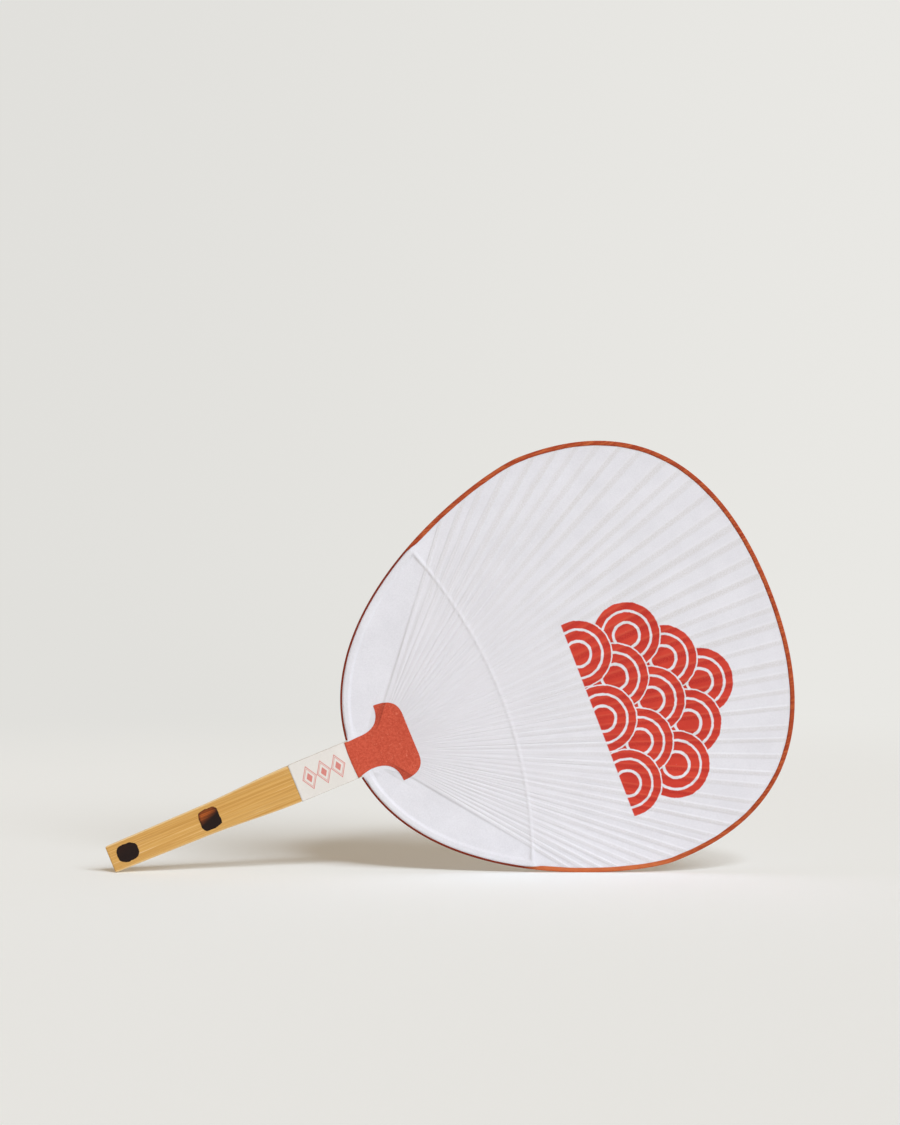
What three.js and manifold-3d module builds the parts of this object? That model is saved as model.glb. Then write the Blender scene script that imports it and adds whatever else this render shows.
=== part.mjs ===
// A rigid bamboo hand fan: a flat handle, split ribs woven on a thread, a bent bow, two papers, a bound rim.
// Millimetres, +Z up. The fan stands on edge, on the butt's lower corner and the rim, its front to -Y.
// Face frame: x runs from the neck line to the crown, z across the face, y through it, front at -y.
// Handle frame: the same, turned and shifted to the handle's own axis.
import * as THREE from 'three';
import { mergeVertices } from 'three/addons/utils/BufferGeometryUtils.js';
import Module from 'manifold-3d';

// Face outline, one half of it: two curves from the neck line over the widest point to the crown.
const FACE_LENGTH = 234.5;
const FACE_WIDTH = 225;
const WIDEST_AT = 137.5;
const NECK_PULL = 78.5;
const SIDE_PULL = 25;
const SHOULDER_PULL = 83;
const CROWN_PULL = 47;

// Handle: a slat that flares to the neck, thinned to a comb end that carries the ribs.
const GRIP_LENGTH = 136;
const BUTT_WIDTH = 14.4;
const GRIP_WIDTH = 15.7;
const NECK_WIDTH = 20;
const FLARE_FROM = 87;
const FLARE_TO = 32;
const FLARE_PULL = 22;
const HANDLE_THICK = 5.4;
const HANDLE_EDGE = 0.7;
const WEDGE_FROM = 6;
const COMB_AT = 12;
const NECK_OFFSET = 3;
const HANDLE_SKEW = THREE.MathUtils.degToRad(1.3);

// Ribs: slips that stand on edge in the comb, fan out from a hub and twist flat on the way to the thread.
const RIB_COUNT = 45;
const RIB_SPREAD = THREE.MathUtils.degToRad(52);
const RIB_CROWDING = -0.12;
const RIB_DEPTH = 1.9;
const RIB_THICK = 0.4;
const RIB_TILT = THREE.MathUtils.degToRad(12);
const SLIT_WIDTH = 0.1;
const COMB_MARGIN = 0.6;
const HUB_AT = 11;
const HUB_OFFSET = 2;
const BEND_END = 26;
const TWIST_FROM = 20;
const RIB_RIM_GAP = 0.8;

// Bow and weaving thread.
const BOW_RADIUS = 1.1;
const BOW_TIP_RADIUS = 0.8;
const BOW_INSET = 3.7;
const BOW_END_AT = 68;
const BOW_TIP_GAP = 0.8;
const THREAD_RADIUS = 0.2;
const THREAD_AT = 84;
const THREAD_TURNS = 2.25;
const THREAD_TURN_PITCH = 0.95;
const THREAD_TAIL = 0.6;

// Papers, binding, patches and band.
const PAPER_THICK = 0.2;
const PAPER_SEAM = 0.08;
const RIDGE_FOOT = 1.6;
const BEAD_FOOT = 2.3;
const FLANK_FALL = 9;
const TWIST_HOLD = 0.3;
const VALLEY_ROOM = 0.5;
const VALLEY_RAMP = 1;
const CREST_REACH = 0.8;
const BINDING_THICK = 0.2;
const RIM_FLANGE = 2.6;
const BOW_FLANGE = 0.9;
const FLANGE_BLEND = 7;
const BINDING_START = 3.8;
const PATCH_THICK = 0.15;
const PATCH_LENGTH = 33;
const PATCH_TOP_WIDTH = 23;
const PATCH_WAIST = 18;
const PATCH_WAIST_AT = 8;
const PATCH_WIDTH = 42;
const PATCH_HORN_AT = 20.5;
const BAND_THICK = 0.15;
const BAND_LENGTH = 32;

// Clearances.
const SEAT_GAP = 0.2;
const HOLE_GAP = 0.15;
const LAYER_GAP = 0.1;
const EDGE_GAP = 0.3;
const NECK_GAP = 0.3;
const NECK_DROP = 2.8;

// How finely curves are stepped.
const OUTLINE_STEPS = 120;
const THREAD_STEPS = 64;
const BINDING_STEPS = 80;
const BOW_STEPS = 44;
const BOW_SIDES = 8;
const THREAD_SIDES = 6;
const TURN_STEPS = 10;
const BEND_STEPS = 4;
const TWIST_STEPS = 5;
const SIDE_COLUMNS = 9;
const PATCH_STEPS = 3;

const FRONT = -1;
const BACK = 1;
const BAMBOO = { color: 0xd1a25f, roughness: 0.55 };
const RIB_BAMBOO = { color: 0xdcc08a, roughness: 0.6 };
const PAPER = { color: 0xe3e2e8, roughness: 0.9 };
const PATCH_PAPER = { color: 0xc95a45, roughness: 0.85 };
const BINDING_PAPER = { color: 0xaf4b30, roughness: 0.8 };
const BAND_PAPER = { color: 0xe8e5e0, roughness: 0.85 };
const COTTON = { color: 0xe6e0d2, roughness: 0.95 };

const { clamp, lerp, smoothstep } = THREE.MathUtils;
const wasm = await Module();
wasm.setup();

// Solids from points and triangles, every face turned outwards.
function closedSurface(points, triangles) {
  const normal = new THREE.Vector3();
  let volume = 0;
  for (const [a, b, c] of triangles) {
    volume += normal.crossVectors(points[b], points[c]).dot(points[a]);
  }
  const outwards = triangles.map(([a, b, c]) => (volume > 0 ? [a, b, c] : [a, c, b]));
  const geometry = new THREE.BufferGeometry().setFromPoints(points);
  geometry.setIndex(outwards.flat());
  geometry.computeVertexNormals();
  return geometry;
}

function fanCap(count) {
  return Array.from({ length: count - 2 }, (_, i) => [0, i + 1, i + 2]);
}

// A solid through a row of sections with as many points each, closed at both ends by the cap's triangles.
function loft(rings, cap) {
  const size = rings[0].length;
  const last = (rings.length - 1) * size;
  const triangles = [];
  for (let ring = 0; ring + 1 < rings.length; ring += 1) {
    for (let i = 0; i < size; i += 1) {
      const a = ring * size + i;
      const b = ring * size + ((i + 1) % size);
      triangles.push([a, b, b + size], [a, b + size, a + size]);
    }
  }
  for (const [a, b, c] of cap) {
    triangles.push([a, c, b], [last + a, last + b, last + c]);
  }
  return closedSurface(rings.flat(), triangles);
}

function tube(path, radiusAt, sides) {
  const side = new THREE.Vector3(0, 1, 0);
  const rings = path.map((centre, i) => {
    const before = path[Math.max(i - 1, 0)];
    const after = path[Math.min(i + 1, path.length - 1)];
    const along = after.clone().sub(before).normalize();
    side.addScaledVector(along, -side.dot(along)).normalize();
    const up = new THREE.Vector3().crossVectors(along, side);
    const radius = radiusAt(i / (path.length - 1));
    return Array.from({ length: sides }, (_, k) => {
      const turn = (2 * Math.PI * k) / sides;
      const rim = centre.clone().addScaledVector(side, radius * Math.cos(turn));
      return rim.addScaledVector(up, radius * Math.sin(turn));
    });
  });
  return loft(rings, fanCap(sides));
}

function toSolid(geometry) {
  const bare = geometry.clone();
  bare.deleteAttribute('normal');
  bare.deleteAttribute('uv');
  const merged = mergeVertices(bare);
  return new wasm.Manifold(new wasm.Mesh({
    numProp: 3,
    vertProperties: merged.getAttribute('position').array,
    triVerts: new Uint32Array(merged.getIndex().array),
  }));
}

function toGeometry(solid) {
  const mesh = solid.getMesh();
  const geometry = new THREE.BufferGeometry();
  geometry.setAttribute('position', new THREE.BufferAttribute(mesh.vertProperties, mesh.numProp));
  geometry.setIndex(new THREE.BufferAttribute(mesh.triVerts, 1));
  geometry.computeVertexNormals();
  return geometry;
}

function piece(name, geometry, finish) {
  const mesh = new THREE.Mesh(geometry, new THREE.MeshStandardMaterial({ metalness: 0, ...finish }));
  mesh.name = name;
  return mesh;
}

// The two frames. A point of the face plane is a Vector2 of its x and z.
const ORIGIN = new THREE.Vector2();
const alongHandle = new THREE.Vector2(1, 0).rotateAround(ORIGIN, HANDLE_SKEW);
const hub = new THREE.Vector2(HUB_AT, -HUB_OFFSET);
const middle = new THREE.Vector2(FACE_LENGTH / 2, 0);

function fromHandle(x, z) {
  const turned = new THREE.Vector2(x, z).rotateAround(ORIGIN, HANDLE_SKEW);
  turned.y -= NECK_OFFSET;
  return turned;
}

function toHandle(point) {
  return new THREE.Vector2(point.x, point.y + NECK_OFFSET).rotateAround(ORIGIN, -HANDLE_SKEW);
}

function polar(angle, distance, aside = 0) {
  return new THREE.Vector2(distance, aside).rotateAround(ORIGIN, angle).add(hub);
}

function inSpace(point, y) {
  return new THREE.Vector3(point.x, y, point.y);
}

// Lines in the face plane: which way is inside, lines inside a line, cuts, even steps and sight lines.
function inwardAt(line, i) {
  const before = line[Math.max(i - 1, 0)];
  const after = line[Math.min(i + 1, line.length - 1)];
  const along = after.clone().sub(before).normalize();
  const across = new THREE.Vector2(-along.y, along.x);
  return across.dot(middle.clone().sub(line[i])) < 0 ? across.negate() : across;
}

function insetLine(line, distance) {
  return line.map((point, i) => point.clone().addScaledVector(inwardAt(line, i), distance));
}

function upTo(line, measure, limit) {
  const starts = measure(line[0]) < limit;
  const end = line.findIndex((point) => (measure(point) < limit) !== starts);
  const before = measure(line[end - 1]);
  const share = (limit - before) / (measure(line[end]) - before);
  return [...line.slice(0, end), line[end - 1].clone().lerp(line[end], share)];
}

function evenly(line, steps) {
  const path = new THREE.CurvePath();
  for (let i = 0; i + 1 < line.length; i += 1) {
    path.add(new THREE.LineCurve(line[i], line[i + 1]));
  }
  return path.getSpacedPoints(steps);
}

function crossingOf(line, start, direction) {
  let found = 0;
  for (let i = 0; i + 1 < line.length; i += 1) {
    const a = line[i].clone().sub(start);
    const b = line[i + 1].clone().sub(start);
    const sideA = direction.cross(a);
    const sideB = direction.cross(b);
    if (sideA * sideB <= 0 && sideA !== sideB) {
      found = Math.max(found, direction.dot(a.lerp(b, sideA / (sideA - sideB))));
    }
  }
  return found;
}

function distanceTo(line, angle, aside = 0) {
  return crossingOf(line, polar(angle, 0, aside), new THREE.Vector2(Math.cos(angle), Math.sin(angle)));
}

function mirrored(line) {
  return line.map((point) => new THREE.Vector2(point.x, -point.y));
}

function besideHandle(point) {
  return Math.abs(toHandle(point).y) - NECK_WIDTH / 2;
}

// The face's outline from the neck line round the crown and back, and the lines that follow it inside.
function upperSide() {
  const half = FACE_WIDTH / 2;
  const side = new THREE.CurvePath();
  side.add(new THREE.CubicBezierCurve(
    new THREE.Vector2(0, 0),
    new THREE.Vector2(0, NECK_PULL),
    new THREE.Vector2(WIDEST_AT - SIDE_PULL, half),
    new THREE.Vector2(WIDEST_AT, half),
  ));
  side.add(new THREE.CubicBezierCurve(
    new THREE.Vector2(WIDEST_AT, half),
    new THREE.Vector2(WIDEST_AT + SHOULDER_PULL, half),
    new THREE.Vector2(FACE_LENGTH, CROWN_PULL),
    new THREE.Vector2(FACE_LENGTH, 0),
  ));
  return side.getSpacedPoints(OUTLINE_STEPS);
}

const upperOutline = upperSide();
const outline = [...mirrored(upperOutline), ...upperOutline.slice(0, -1).reverse()];
const paperInset = BINDING_THICK + EDGE_GAP;
const paperEdge = insetLine(outline, paperInset);
const upperBow = upTo(insetLine(upperOutline, BOW_INSET), (point) => point.x, BOW_END_AT);
const bowEnd = upperBow.at(-1);

function threadArc() {
  return Array.from({ length: THREAD_STEPS + 1 }, (_, i) => {
    const share = (2 * i) / THREAD_STEPS - 1;
    return new THREE.Vector2(lerp(THREAD_AT, BOW_END_AT, share * share), share * bowEnd.y);
  });
}

const threadLine = threadArc();

// Ribs. Their numbers run from the lower edge of the face to the upper one.
const combPitch = (NECK_WIDTH - 2 * COMB_MARGIN) / RIB_COUNT;

function ribAngle(number) {
  const share = (2 * number) / (RIB_COUNT - 1) - 1;
  return RIB_SPREAD * (share + RIB_CROWDING * (1 - share * share));
}

function ribRoot(number, x) {
  return fromHandle(x, (number - (RIB_COUNT - 1) / 2) * combPitch);
}

// A rib's cross-section at a distance from the hub: on edge in the comb, almost flat from the thread on.
function ribSection(angle, distance) {
  const turned = smoothstep(distance, TWIST_FROM, distanceTo(threadLine, angle));
  const tilt = lerp(Math.PI / 2, RIB_TILT, turned);
  const thick = lerp(combPitch - SLIT_WIDTH, RIB_THICK, turned);
  const cos = Math.cos(tilt);
  const sin = Math.sin(tilt);
  return {
    tilt,
    thick,
    halfWidth: (RIB_DEPTH * cos + thick * sin) / 2,
    halfHeight: (RIB_DEPTH * sin + thick * cos) / 2,
  };
}

function ribCorners(centre, heading, section) {
  const across = new THREE.Vector3(-Math.sin(heading), 0, Math.cos(heading));
  const forward = new THREE.Vector3(0, FRONT, 0);
  const wide = across.clone().multiplyScalar(Math.cos(section.tilt));
  wide.addScaledVector(forward, Math.sin(section.tilt)).multiplyScalar(RIB_DEPTH / 2);
  const thin = across.clone().multiplyScalar(-Math.sin(section.tilt));
  thin.addScaledVector(forward, Math.cos(section.tilt)).multiplyScalar(section.thick / 2);
  const corners = [[1, 1], [1, -1], [-1, -1], [-1, 1]];
  return corners.map(([w, t]) => inSpace(centre, 0).addScaledVector(wide, w).addScaledVector(thin, t));
}

// Stations along a rib: straight out of the comb, one bend to its own line from the hub, then on to the rim.
function ribStations(number) {
  const angle = ribAngle(number);
  const root = ribRoot(number, COMB_AT + SEAT_GAP);
  const bendEnd = polar(angle, BEND_END);
  const ease = root.distanceTo(bendEnd) / 3;
  const bend = new THREE.CubicBezierCurve(
    root,
    root.clone().addScaledVector(alongHandle, ease),
    polar(angle, BEND_END - ease),
    bendEnd,
  );
  const stations = [];
  for (let i = 0; i < BEND_STEPS; i += 1) {
    const centre = bend.getPoint(i / BEND_STEPS);
    stations.push({ centre, heading: bend.getTangent(i / BEND_STEPS).angle() });
  }
  const flatFrom = distanceTo(threadLine, angle);
  for (let i = 0; i <= TWIST_STEPS; i += 1) {
    stations.push({ centre: polar(angle, lerp(BEND_END, flatFrom, i / TWIST_STEPS)), heading: angle });
  }
  const edges = [-RIB_DEPTH / 2, RIB_DEPTH / 2].map((aside) => distanceTo(paperEdge, angle, aside));
  stations.push({ centre: polar(angle, Math.min(...edges) - RIB_RIM_GAP), heading: angle });
  return stations;
}

function rib(number) {
  const rings = ribStations(number).map(({ centre, heading }) => (
    ribCorners(centre, heading, ribSection(ribAngle(number), centre.distanceTo(hub)))
  ));
  return loft(rings, fanCap(4));
}

// The bow, one bent rod from end to end through the handle's hole.
function bowPath() {
  const tip = upTo([...upperBow].reverse(), (point) => point.distanceTo(bowEnd), BOW_TIP_GAP).at(-1);
  const upper = upTo(upperBow, (point) => point.x, tip.x);
  return evenly([...mirrored(upper).reverse(), ...upper.slice(1)], BOW_STEPS);
}

function bowRadius(share) {
  return lerp(BOW_RADIUS, BOW_TIP_RADIUS, Math.abs(2 * share - 1));
}

const bowCourse = bowPath();
const bowGeometry = tube(bowCourse.map((point) => inSpace(point, 0)), bowRadius, BOW_SIDES);

// The weaving thread: wound on the bow's lower end, over and under each rib, wound on the upper end.
const windingRadius = BOW_TIP_RADIUS + THREAD_RADIUS + LAYER_GAP;
const wovenHalf = ribSection(0, distanceTo(threadLine, 0)).halfHeight;
const weaveRise = wovenHalf + THREAD_RADIUS + LAYER_GAP;

function winding() {
  const toNeck = [...upperBow].reverse();
  const steps = Math.round(THREAD_TURNS * TURN_STEPS);
  return Array.from({ length: steps + 1 }, (_, i) => {
    const turn = (2 * Math.PI * i) / TURN_STEPS;
    const along = BOW_TIP_GAP + THREAD_TAIL + (THREAD_TURN_PITCH * i) / TURN_STEPS;
    const reached = upTo(toNeck, (point) => point.distanceTo(bowEnd), along);
    const centre = reached.at(-1);
    const outward = inwardAt(reached, reached.length - 1).negate();
    const side = windingRadius * Math.sin(turn);
    return inSpace(centre.clone().addScaledVector(outward, side), FRONT * windingRadius * Math.cos(turn));
  });
}

function threadPath() {
  const upperEnd = [inSpace(bowEnd, FRONT * windingRadius), ...winding()];
  const lowerEnd = upperEnd.map((point) => new THREE.Vector3(point.x, point.y, -point.z)).reverse();
  const woven = [];
  for (let number = 0; number < RIB_COUNT; number += 1) {
    const angle = ribAngle(number);
    const distance = distanceTo(threadLine, angle);
    const aside = ribSection(angle, distance).halfWidth + THREAD_RADIUS / 2;
    const y = (number % 2 === 0 ? FRONT : BACK) * weaveRise;
    for (const offset of [-aside, aside]) {
      woven.push(inSpace(polar(angle, distanceTo(threadLine, angle, offset), offset), y));
    }
  }
  return [...lowerEnd, ...woven, ...upperEnd];
}

// The least clear distance between turns of a path, for points at least a turn's quarter apart along it.
function leastSelfGap(path) {
  let least = Infinity;
  for (let i = 0; i < path.length; i += 1) {
    for (let k = i + TURN_STEPS / 2; k < path.length; k += 1) {
      least = Math.min(least, path[i].distanceTo(path[k]) - 2 * THREAD_RADIUS);
    }
  }
  return least;
}

const threadCourse = threadPath();
console.log(`weaving thread: least gap to itself ${leastSelfGap(threadCourse).toFixed(2)} mm`);

// The papers. Heights are half the room inside, from the face's middle plane to a paper's inner side.
const beadNeed = Math.max(BOW_RADIUS, windingRadius + THREAD_RADIUS) + LAYER_GAP;
const beadHeight = beadNeed / Math.sqrt(1 - (beadNeed / BEAD_FOOT) ** 2);
const ridgeHeight = weaveRise + THREAD_RADIUS + LAYER_GAP;

function handleHalfThick(x) {
  return lerp(HANDLE_THICK / 2, RIB_DEPTH / 2, clamp((x + WEDGE_FROM) / (COMB_AT + WEDGE_FROM), 0, 1));
}

function overHandle(point) {
  return handleHalfThick(toHandle(point).x) + LAYER_GAP;
}

function halfPitch(number, distance, towards) {
  return distance * Math.abs(ribAngle(number + towards / 2) - ribAngle(number));
}

// One line of the paper's mesh from the neck to the edge, along a rib's raised edge or between two ribs.
function ribColumn(number, onRib, side) {
  const angle = ribAngle(number);
  const flatFrom = distanceTo(threadLine, angle);
  const height = (distance) => {
    const section = ribSection(angle, distance);
    const crest = section.halfHeight + LAYER_GAP;
    const room = halfPitch(number, distance, 1) - section.halfWidth - VALLEY_ROOM;
    return onRib ? crest : lerp(crest, PAPER_SEAM, clamp(room / VALLEY_RAMP, 0, 1));
  };
  const aside = (distance) => {
    const most = CREST_REACH * halfPitch(number, distance, -side);
    const reach = Math.min(ribSection(angle, distance).halfWidth, most);
    return onRib ? -side * reach : 0;
  };
  const place = (distance) => ({ point: polar(angle, distance, aside(distance)), height: height(distance) });
  const ridge = distanceTo(threadLine, angle, aside(flatFrom));
  const besideBow = number < 0 || number > RIB_COUNT - 1;
  const lift = besideBow ? (ridgeHeight + beadHeight) / 2 : ridgeHeight;
  return [
    { point: ribRoot(number, COMB_AT), height: RIB_DEPTH / 2 + LAYER_GAP },
    place(BEND_END),
    place(lerp(BEND_END, ridge, TWIST_HOLD)),
    place(ridge - RIDGE_FOOT),
    { point: polar(angle, ridge, aside(ridge)), height: lift },
    place(ridge + RIDGE_FOOT),
    place(distanceTo(paperEdge, angle, aside(flatFrom))),
  ];
}

// The lines beside the ribs, across the bow, from the corner where it meets the thread to the handle's flank.
function sideColumns(across) {
  const bow = [...(across > 0 ? upperBow : mirrored(upperBow))].reverse();
  const thread = [...(across > 0 ? threadLine : mirrored(threadLine))].reverse();
  const open = upTo(bow, besideHandle, NECK_DROP);
  const flank = upTo(bow, besideHandle, NECK_GAP).at(-1);
  const stops = [...evenly(open, SIDE_COLUMNS - 2), flank];
  const lead = upTo(thread, (point) => point.distanceTo(stops[0]), stops[0].distanceTo(stops[1])).at(-1);
  return stops.map((centre, i) => {
    const onFlank = i === SIDE_COLUMNS - 1;
    const inward = onFlank ? alongHandle.clone() : inwardAt([lead, ...stops], i + 1);
    const outward = inward.clone().negate();
    const spread = BEAD_FOOT / inward.dot(inwardAt(stops, i));
    const share = i / (SIDE_COLUMNS - 1);
    const rootX = lerp(COMB_AT, BOW_INSET + 2 * BEAD_FOOT, share);
    const root = fromHandle(rootX, across * (NECK_WIDTH / 2 + NECK_GAP));
    const foot = centre.clone().addScaledVector(inward, spread);
    const settled = Math.min(FLANK_FALL / root.distanceTo(foot), 0.5);
    const points = [
      root,
      root.clone().lerp(foot, settled),
      root.clone().lerp(foot, (1 + settled) / 2),
      foot,
      centre,
      centre.clone().addScaledVector(outward, spread),
      centre.clone().addScaledVector(outward, crossingOf(paperEdge, centre, outward)),
    ];
    return points.map((point, ring) => {
      const free = point === centre ? beadHeight : PAPER_SEAM;
      return { point, height: onFlank || ring === 0 ? overHandle(point) : free };
    });
  });
}

function paper(side) {
  const columns = sideColumns(-1).reverse();
  columns.push(ribColumn(-0.5, false, side));
  for (let number = 0; number < RIB_COUNT; number += 1) {
    columns.push(ribColumn(number, true, side), ribColumn(number + 0.5, false, side));
  }
  columns.push(...sideColumns(1));
  const rings = columns[0].length;
  const vertices = [...columns.flat(), { point: hub, height: overHandle(hub) }];
  const centre = vertices.length - 1;
  const at = (column, ring) => column * rings + ring;
  const faces = [];
  for (let column = 0; column + 1 < columns.length; column += 1) {
    for (let ring = 0; ring + 1 < rings; ring += 1) {
      const a = at(column, ring);
      const b = at(column + 1, ring);
      faces.push([a, a + 1, b + 1], [a, b + 1, b]);
    }
  }
  const last = columns.length - 1;
  const ringNumbers = [...Array(rings).keys()].slice(1);
  const roots = columns.map((_, column) => at(column, 0));
  const upperFlank = ringNumbers.map((ring) => at(last, ring));
  const lowerFlank = ringNumbers.map((ring) => at(0, ring)).reverse();
  const loop = [...roots, ...upperFlank, ...lowerFlank];
  loop.forEach((corner, i) => faces.push([centre, corner, loop[(i + 1) % loop.length]]));
  const edge = columns.map((_, column) => at(column, rings - 1));
  return slab(vertices, faces, edge, side, PAPER_THICK);
}

// A thin sheet: faces over points at their heights, again one thickness further out, and a wall round them.
function slab(vertices, faces, edge, side, thick) {
  const count = vertices.length;
  const inner = vertices.map(({ point, height }) => inSpace(point, side * height));
  const outer = vertices.map(({ point, height }) => inSpace(point, side * (height + thick)));
  const triangles = [];
  for (const [a, b, c] of faces) {
    triangles.push([a, b, c], [a + count, c + count, b + count]);
  }
  edge.forEach((a, i) => {
    const b = edge[(i + 1) % edge.length];
    triangles.push([a, a + count, b + count], [a, b + count, b]);
  });
  return closedSurface([...inner, ...outer], triangles);
}

// The binding: a strip folded over the paper's edge, wide round the crown and narrow along the bow.
function clearOfNeck(line) {
  const start = upTo(line, besideHandle, BINDING_START);
  return [start.at(-1), ...line.slice(start.length - 1)];
}

function binding() {
  const upper = clearOfNeck(upperOutline).reverse();
  const stations = evenly([...clearOfNeck(mirrored(upperOutline)), ...upper.slice(1)], BINDING_STEPS);
  const ribRoom = wovenHalf + PAPER_THICK + 2 * LAYER_GAP;
  const seamRoom = PAPER_SEAM + PAPER_THICK + LAYER_GAP;
  const rings = stations.map((station, i) => {
    const inward = inwardAt(stations, i);
    const share = smoothstep(station.x, BOW_END_AT, BOW_END_AT + FLANGE_BLEND);
    const flange = lerp(BOW_FLANGE, RIM_FLANGE, share);
    const room = lerp(seamRoom, ribRoom, share);
    const wall = room + BINDING_THICK;
    const profile = [
      [0, -wall],
      [flange, -wall],
      [flange, -room],
      [BINDING_THICK, -room],
      [BINDING_THICK, room],
      [flange, room],
      [flange, wall],
      [0, wall],
    ];
    return profile.map(([depth, y]) => inSpace(station.clone().addScaledVector(inward, depth), y));
  });
  return loft(rings, [[0, 1, 2], [0, 2, 3], [0, 3, 4], [0, 4, 7], [4, 5, 6], [4, 6, 7]]);
}

// A neck patch in the handle frame: hollow sides up to two horns, then a rounded top.
function patch(side) {
  const neck = new THREE.Vector2(SEAT_GAP, NECK_WIDTH / 2 - LAYER_GAP);
  const waist = new THREE.Vector2(PATCH_WAIST_AT, PATCH_WAIST / 2);
  const horn = new THREE.Vector2(PATCH_HORN_AT, PATCH_WIDTH / 2);
  const top = new THREE.Vector2(PATCH_LENGTH, PATCH_TOP_WIDTH / 2);
  const curves = [
    new THREE.QuadraticBezierCurve(neck, new THREE.Vector2(waist.x / 2, waist.y), waist),
    new THREE.QuadraticBezierCurve(waist, new THREE.Vector2(horn.x, waist.y), horn),
    new THREE.QuadraticBezierCurve(horn, new THREE.Vector2(top.x, horn.y), top),
  ];
  const rows = curves.flatMap((curve, i) => curve.getPoints(PATCH_STEPS).slice(i === 0 ? 0 : 1));
  const vertices = rows.flatMap((row) => {
    const height = handleHalfThick(row.x) + 2 * LAYER_GAP + PAPER_THICK;
    return [-row.y, row.y].map((z) => ({ point: new THREE.Vector2(row.x, z), height }));
  });
  const rights = rows.map((_, i) => 2 * i);
  const lefts = rows.map((_, i) => 2 * i + 1);
  const faces = rights.slice(1).flatMap((a) => [[a - 2, a - 1, a + 1], [a - 2, a + 1, a]]);
  const edge = [...lefts, ...rights.reverse()];
  return slab(vertices, faces, edge, side, PATCH_THICK);
}

// The handle, in its own frame, and blanks of it grown by a margin for the band around it.
function handlePlan(margin) {
  const butt = BUTT_WIDTH / 2 + margin;
  const waist = GRIP_WIDTH / 2 + margin;
  const neck = NECK_WIDTH / 2 + margin;
  const plan = new THREE.Shape();
  plan.moveTo(-GRIP_LENGTH - margin, -butt);
  plan.lineTo(-FLARE_FROM, -waist);
  plan.bezierCurveTo(-FLARE_FROM + FLARE_PULL, -waist, -FLARE_TO - FLARE_PULL, -neck, -FLARE_TO, -neck);
  plan.lineTo(COMB_AT + margin, -neck);
  plan.lineTo(COMB_AT + margin, neck);
  plan.lineTo(-FLARE_TO, neck);
  plan.bezierCurveTo(-FLARE_TO - FLARE_PULL, neck, -FLARE_FROM + FLARE_PULL, waist, -FLARE_FROM, waist);
  plan.lineTo(-GRIP_LENGTH - margin, butt);
  plan.closePath();
  return plan;
}

function handleBlank(margin) {
  const edge = HANDLE_EDGE + margin;
  const depth = HANDLE_THICK + 2 * margin - 2 * edge;
  const blank = new THREE.ExtrudeGeometry(handlePlan(margin), {
    depth,
    curveSegments: 8,
    bevelThickness: edge,
    bevelSize: edge,
    bevelOffset: -edge,
    bevelSegments: 2,
  });
  blank.translate(0, 0, -depth / 2);
  return toSolid(blank.rotateX(Math.PI / 2));
}

function wedgeCut(side) {
  const slope = (HANDLE_THICK - RIB_DEPTH) / 2 / (COMB_AT + WEDGE_FROM);
  const past = COMB_AT + NECK_DROP;
  const section = new THREE.Shape([
    new THREE.Vector2(-WEDGE_FROM, HANDLE_THICK / 2),
    new THREE.Vector2(past, HANDLE_THICK / 2 - slope * (past + WEDGE_FROM)),
    new THREE.Vector2(past, HANDLE_THICK),
    new THREE.Vector2(-WEDGE_FROM, HANDLE_THICK),
  ]);
  const cut = new THREE.ExtrudeGeometry(section, { depth: 2 * NECK_WIDTH, bevelEnabled: false });
  cut.translate(0, 0, -NECK_WIDTH);
  return toSolid(side === BACK ? cut : cut.rotateX(Math.PI));
}

function handle(toGrip) {
  const inHandle = bowCourse.filter((point) => besideHandle(point) < NECK_WIDTH / 2);
  const drill = tube(inHandle.map((point) => inSpace(point, 0)), () => BOW_RADIUS + HOLE_GAP, 2 * BOW_SIDES);
  const cut = handleBlank(0).subtract(wedgeCut(FRONT)).subtract(wedgeCut(BACK));
  return toGeometry(cut.subtract(toSolid(drill.applyMatrix4(toGrip))));
}

function labelBand() {
  const room = new THREE.BoxGeometry(BAND_LENGTH, 2 * HANDLE_THICK, 2 * NECK_WIDTH);
  room.translate(-BAND_LENGTH / 2 - SEAT_GAP, 0, 0);
  const sleeve = handleBlank(LAYER_GAP + BAND_THICK).subtract(handleBlank(LAYER_GAP));
  return toGeometry(sleeve.intersect(toSolid(room)));
}

// The angle at which the butt's lower corner and the rim touch one level line.
function standAngle() {
  const corner = fromHandle(-GRIP_LENGTH, -BUTT_WIDTH / 2);
  const slopes = outline.map((point) => Math.atan2(point.y - corner.y, point.x - corner.x));
  return -Math.min(...slopes);
}

const grip = new THREE.Group();
grip.position.z = -NECK_OFFSET;
grip.rotation.y = -HANDLE_SKEW;
grip.updateMatrix();
grip.add(
  piece('handle', handle(grip.matrix.clone().invert()), BAMBOO),
  piece('label_band', labelBand(), BAND_PAPER),
  piece('neck_patch_front', patch(FRONT), PATCH_PAPER),
  piece('neck_patch_back', patch(BACK), PATCH_PAPER),
);

const fan = new THREE.Group();
fan.add(grip);
for (let number = 0; number < RIB_COUNT; number += 1) {
  fan.add(piece(`rib_${String(number + 1).padStart(2, '0')}`, rib(number), RIB_BAMBOO));
}
fan.add(
  piece('bow', bowGeometry, RIB_BAMBOO),
  piece('weaving_thread', tube(threadCourse, () => THREAD_RADIUS, THREAD_SIDES), COTTON),
  piece('paper_front', paper(FRONT), PAPER),
  piece('paper_back', paper(BACK), PAPER),
  piece('edge_binding', binding(), BINDING_PAPER),
);

// The fan stands on edge with the middle of its footprint over the origin.
fan.rotation.y = -standAngle();
const box = new THREE.Box3().setFromObject(fan, true);
const footprint = box.getCenter(new THREE.Vector3());
fan.position.set(-footprint.x, -footprint.y, -box.min.z);
export default fan;
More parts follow.
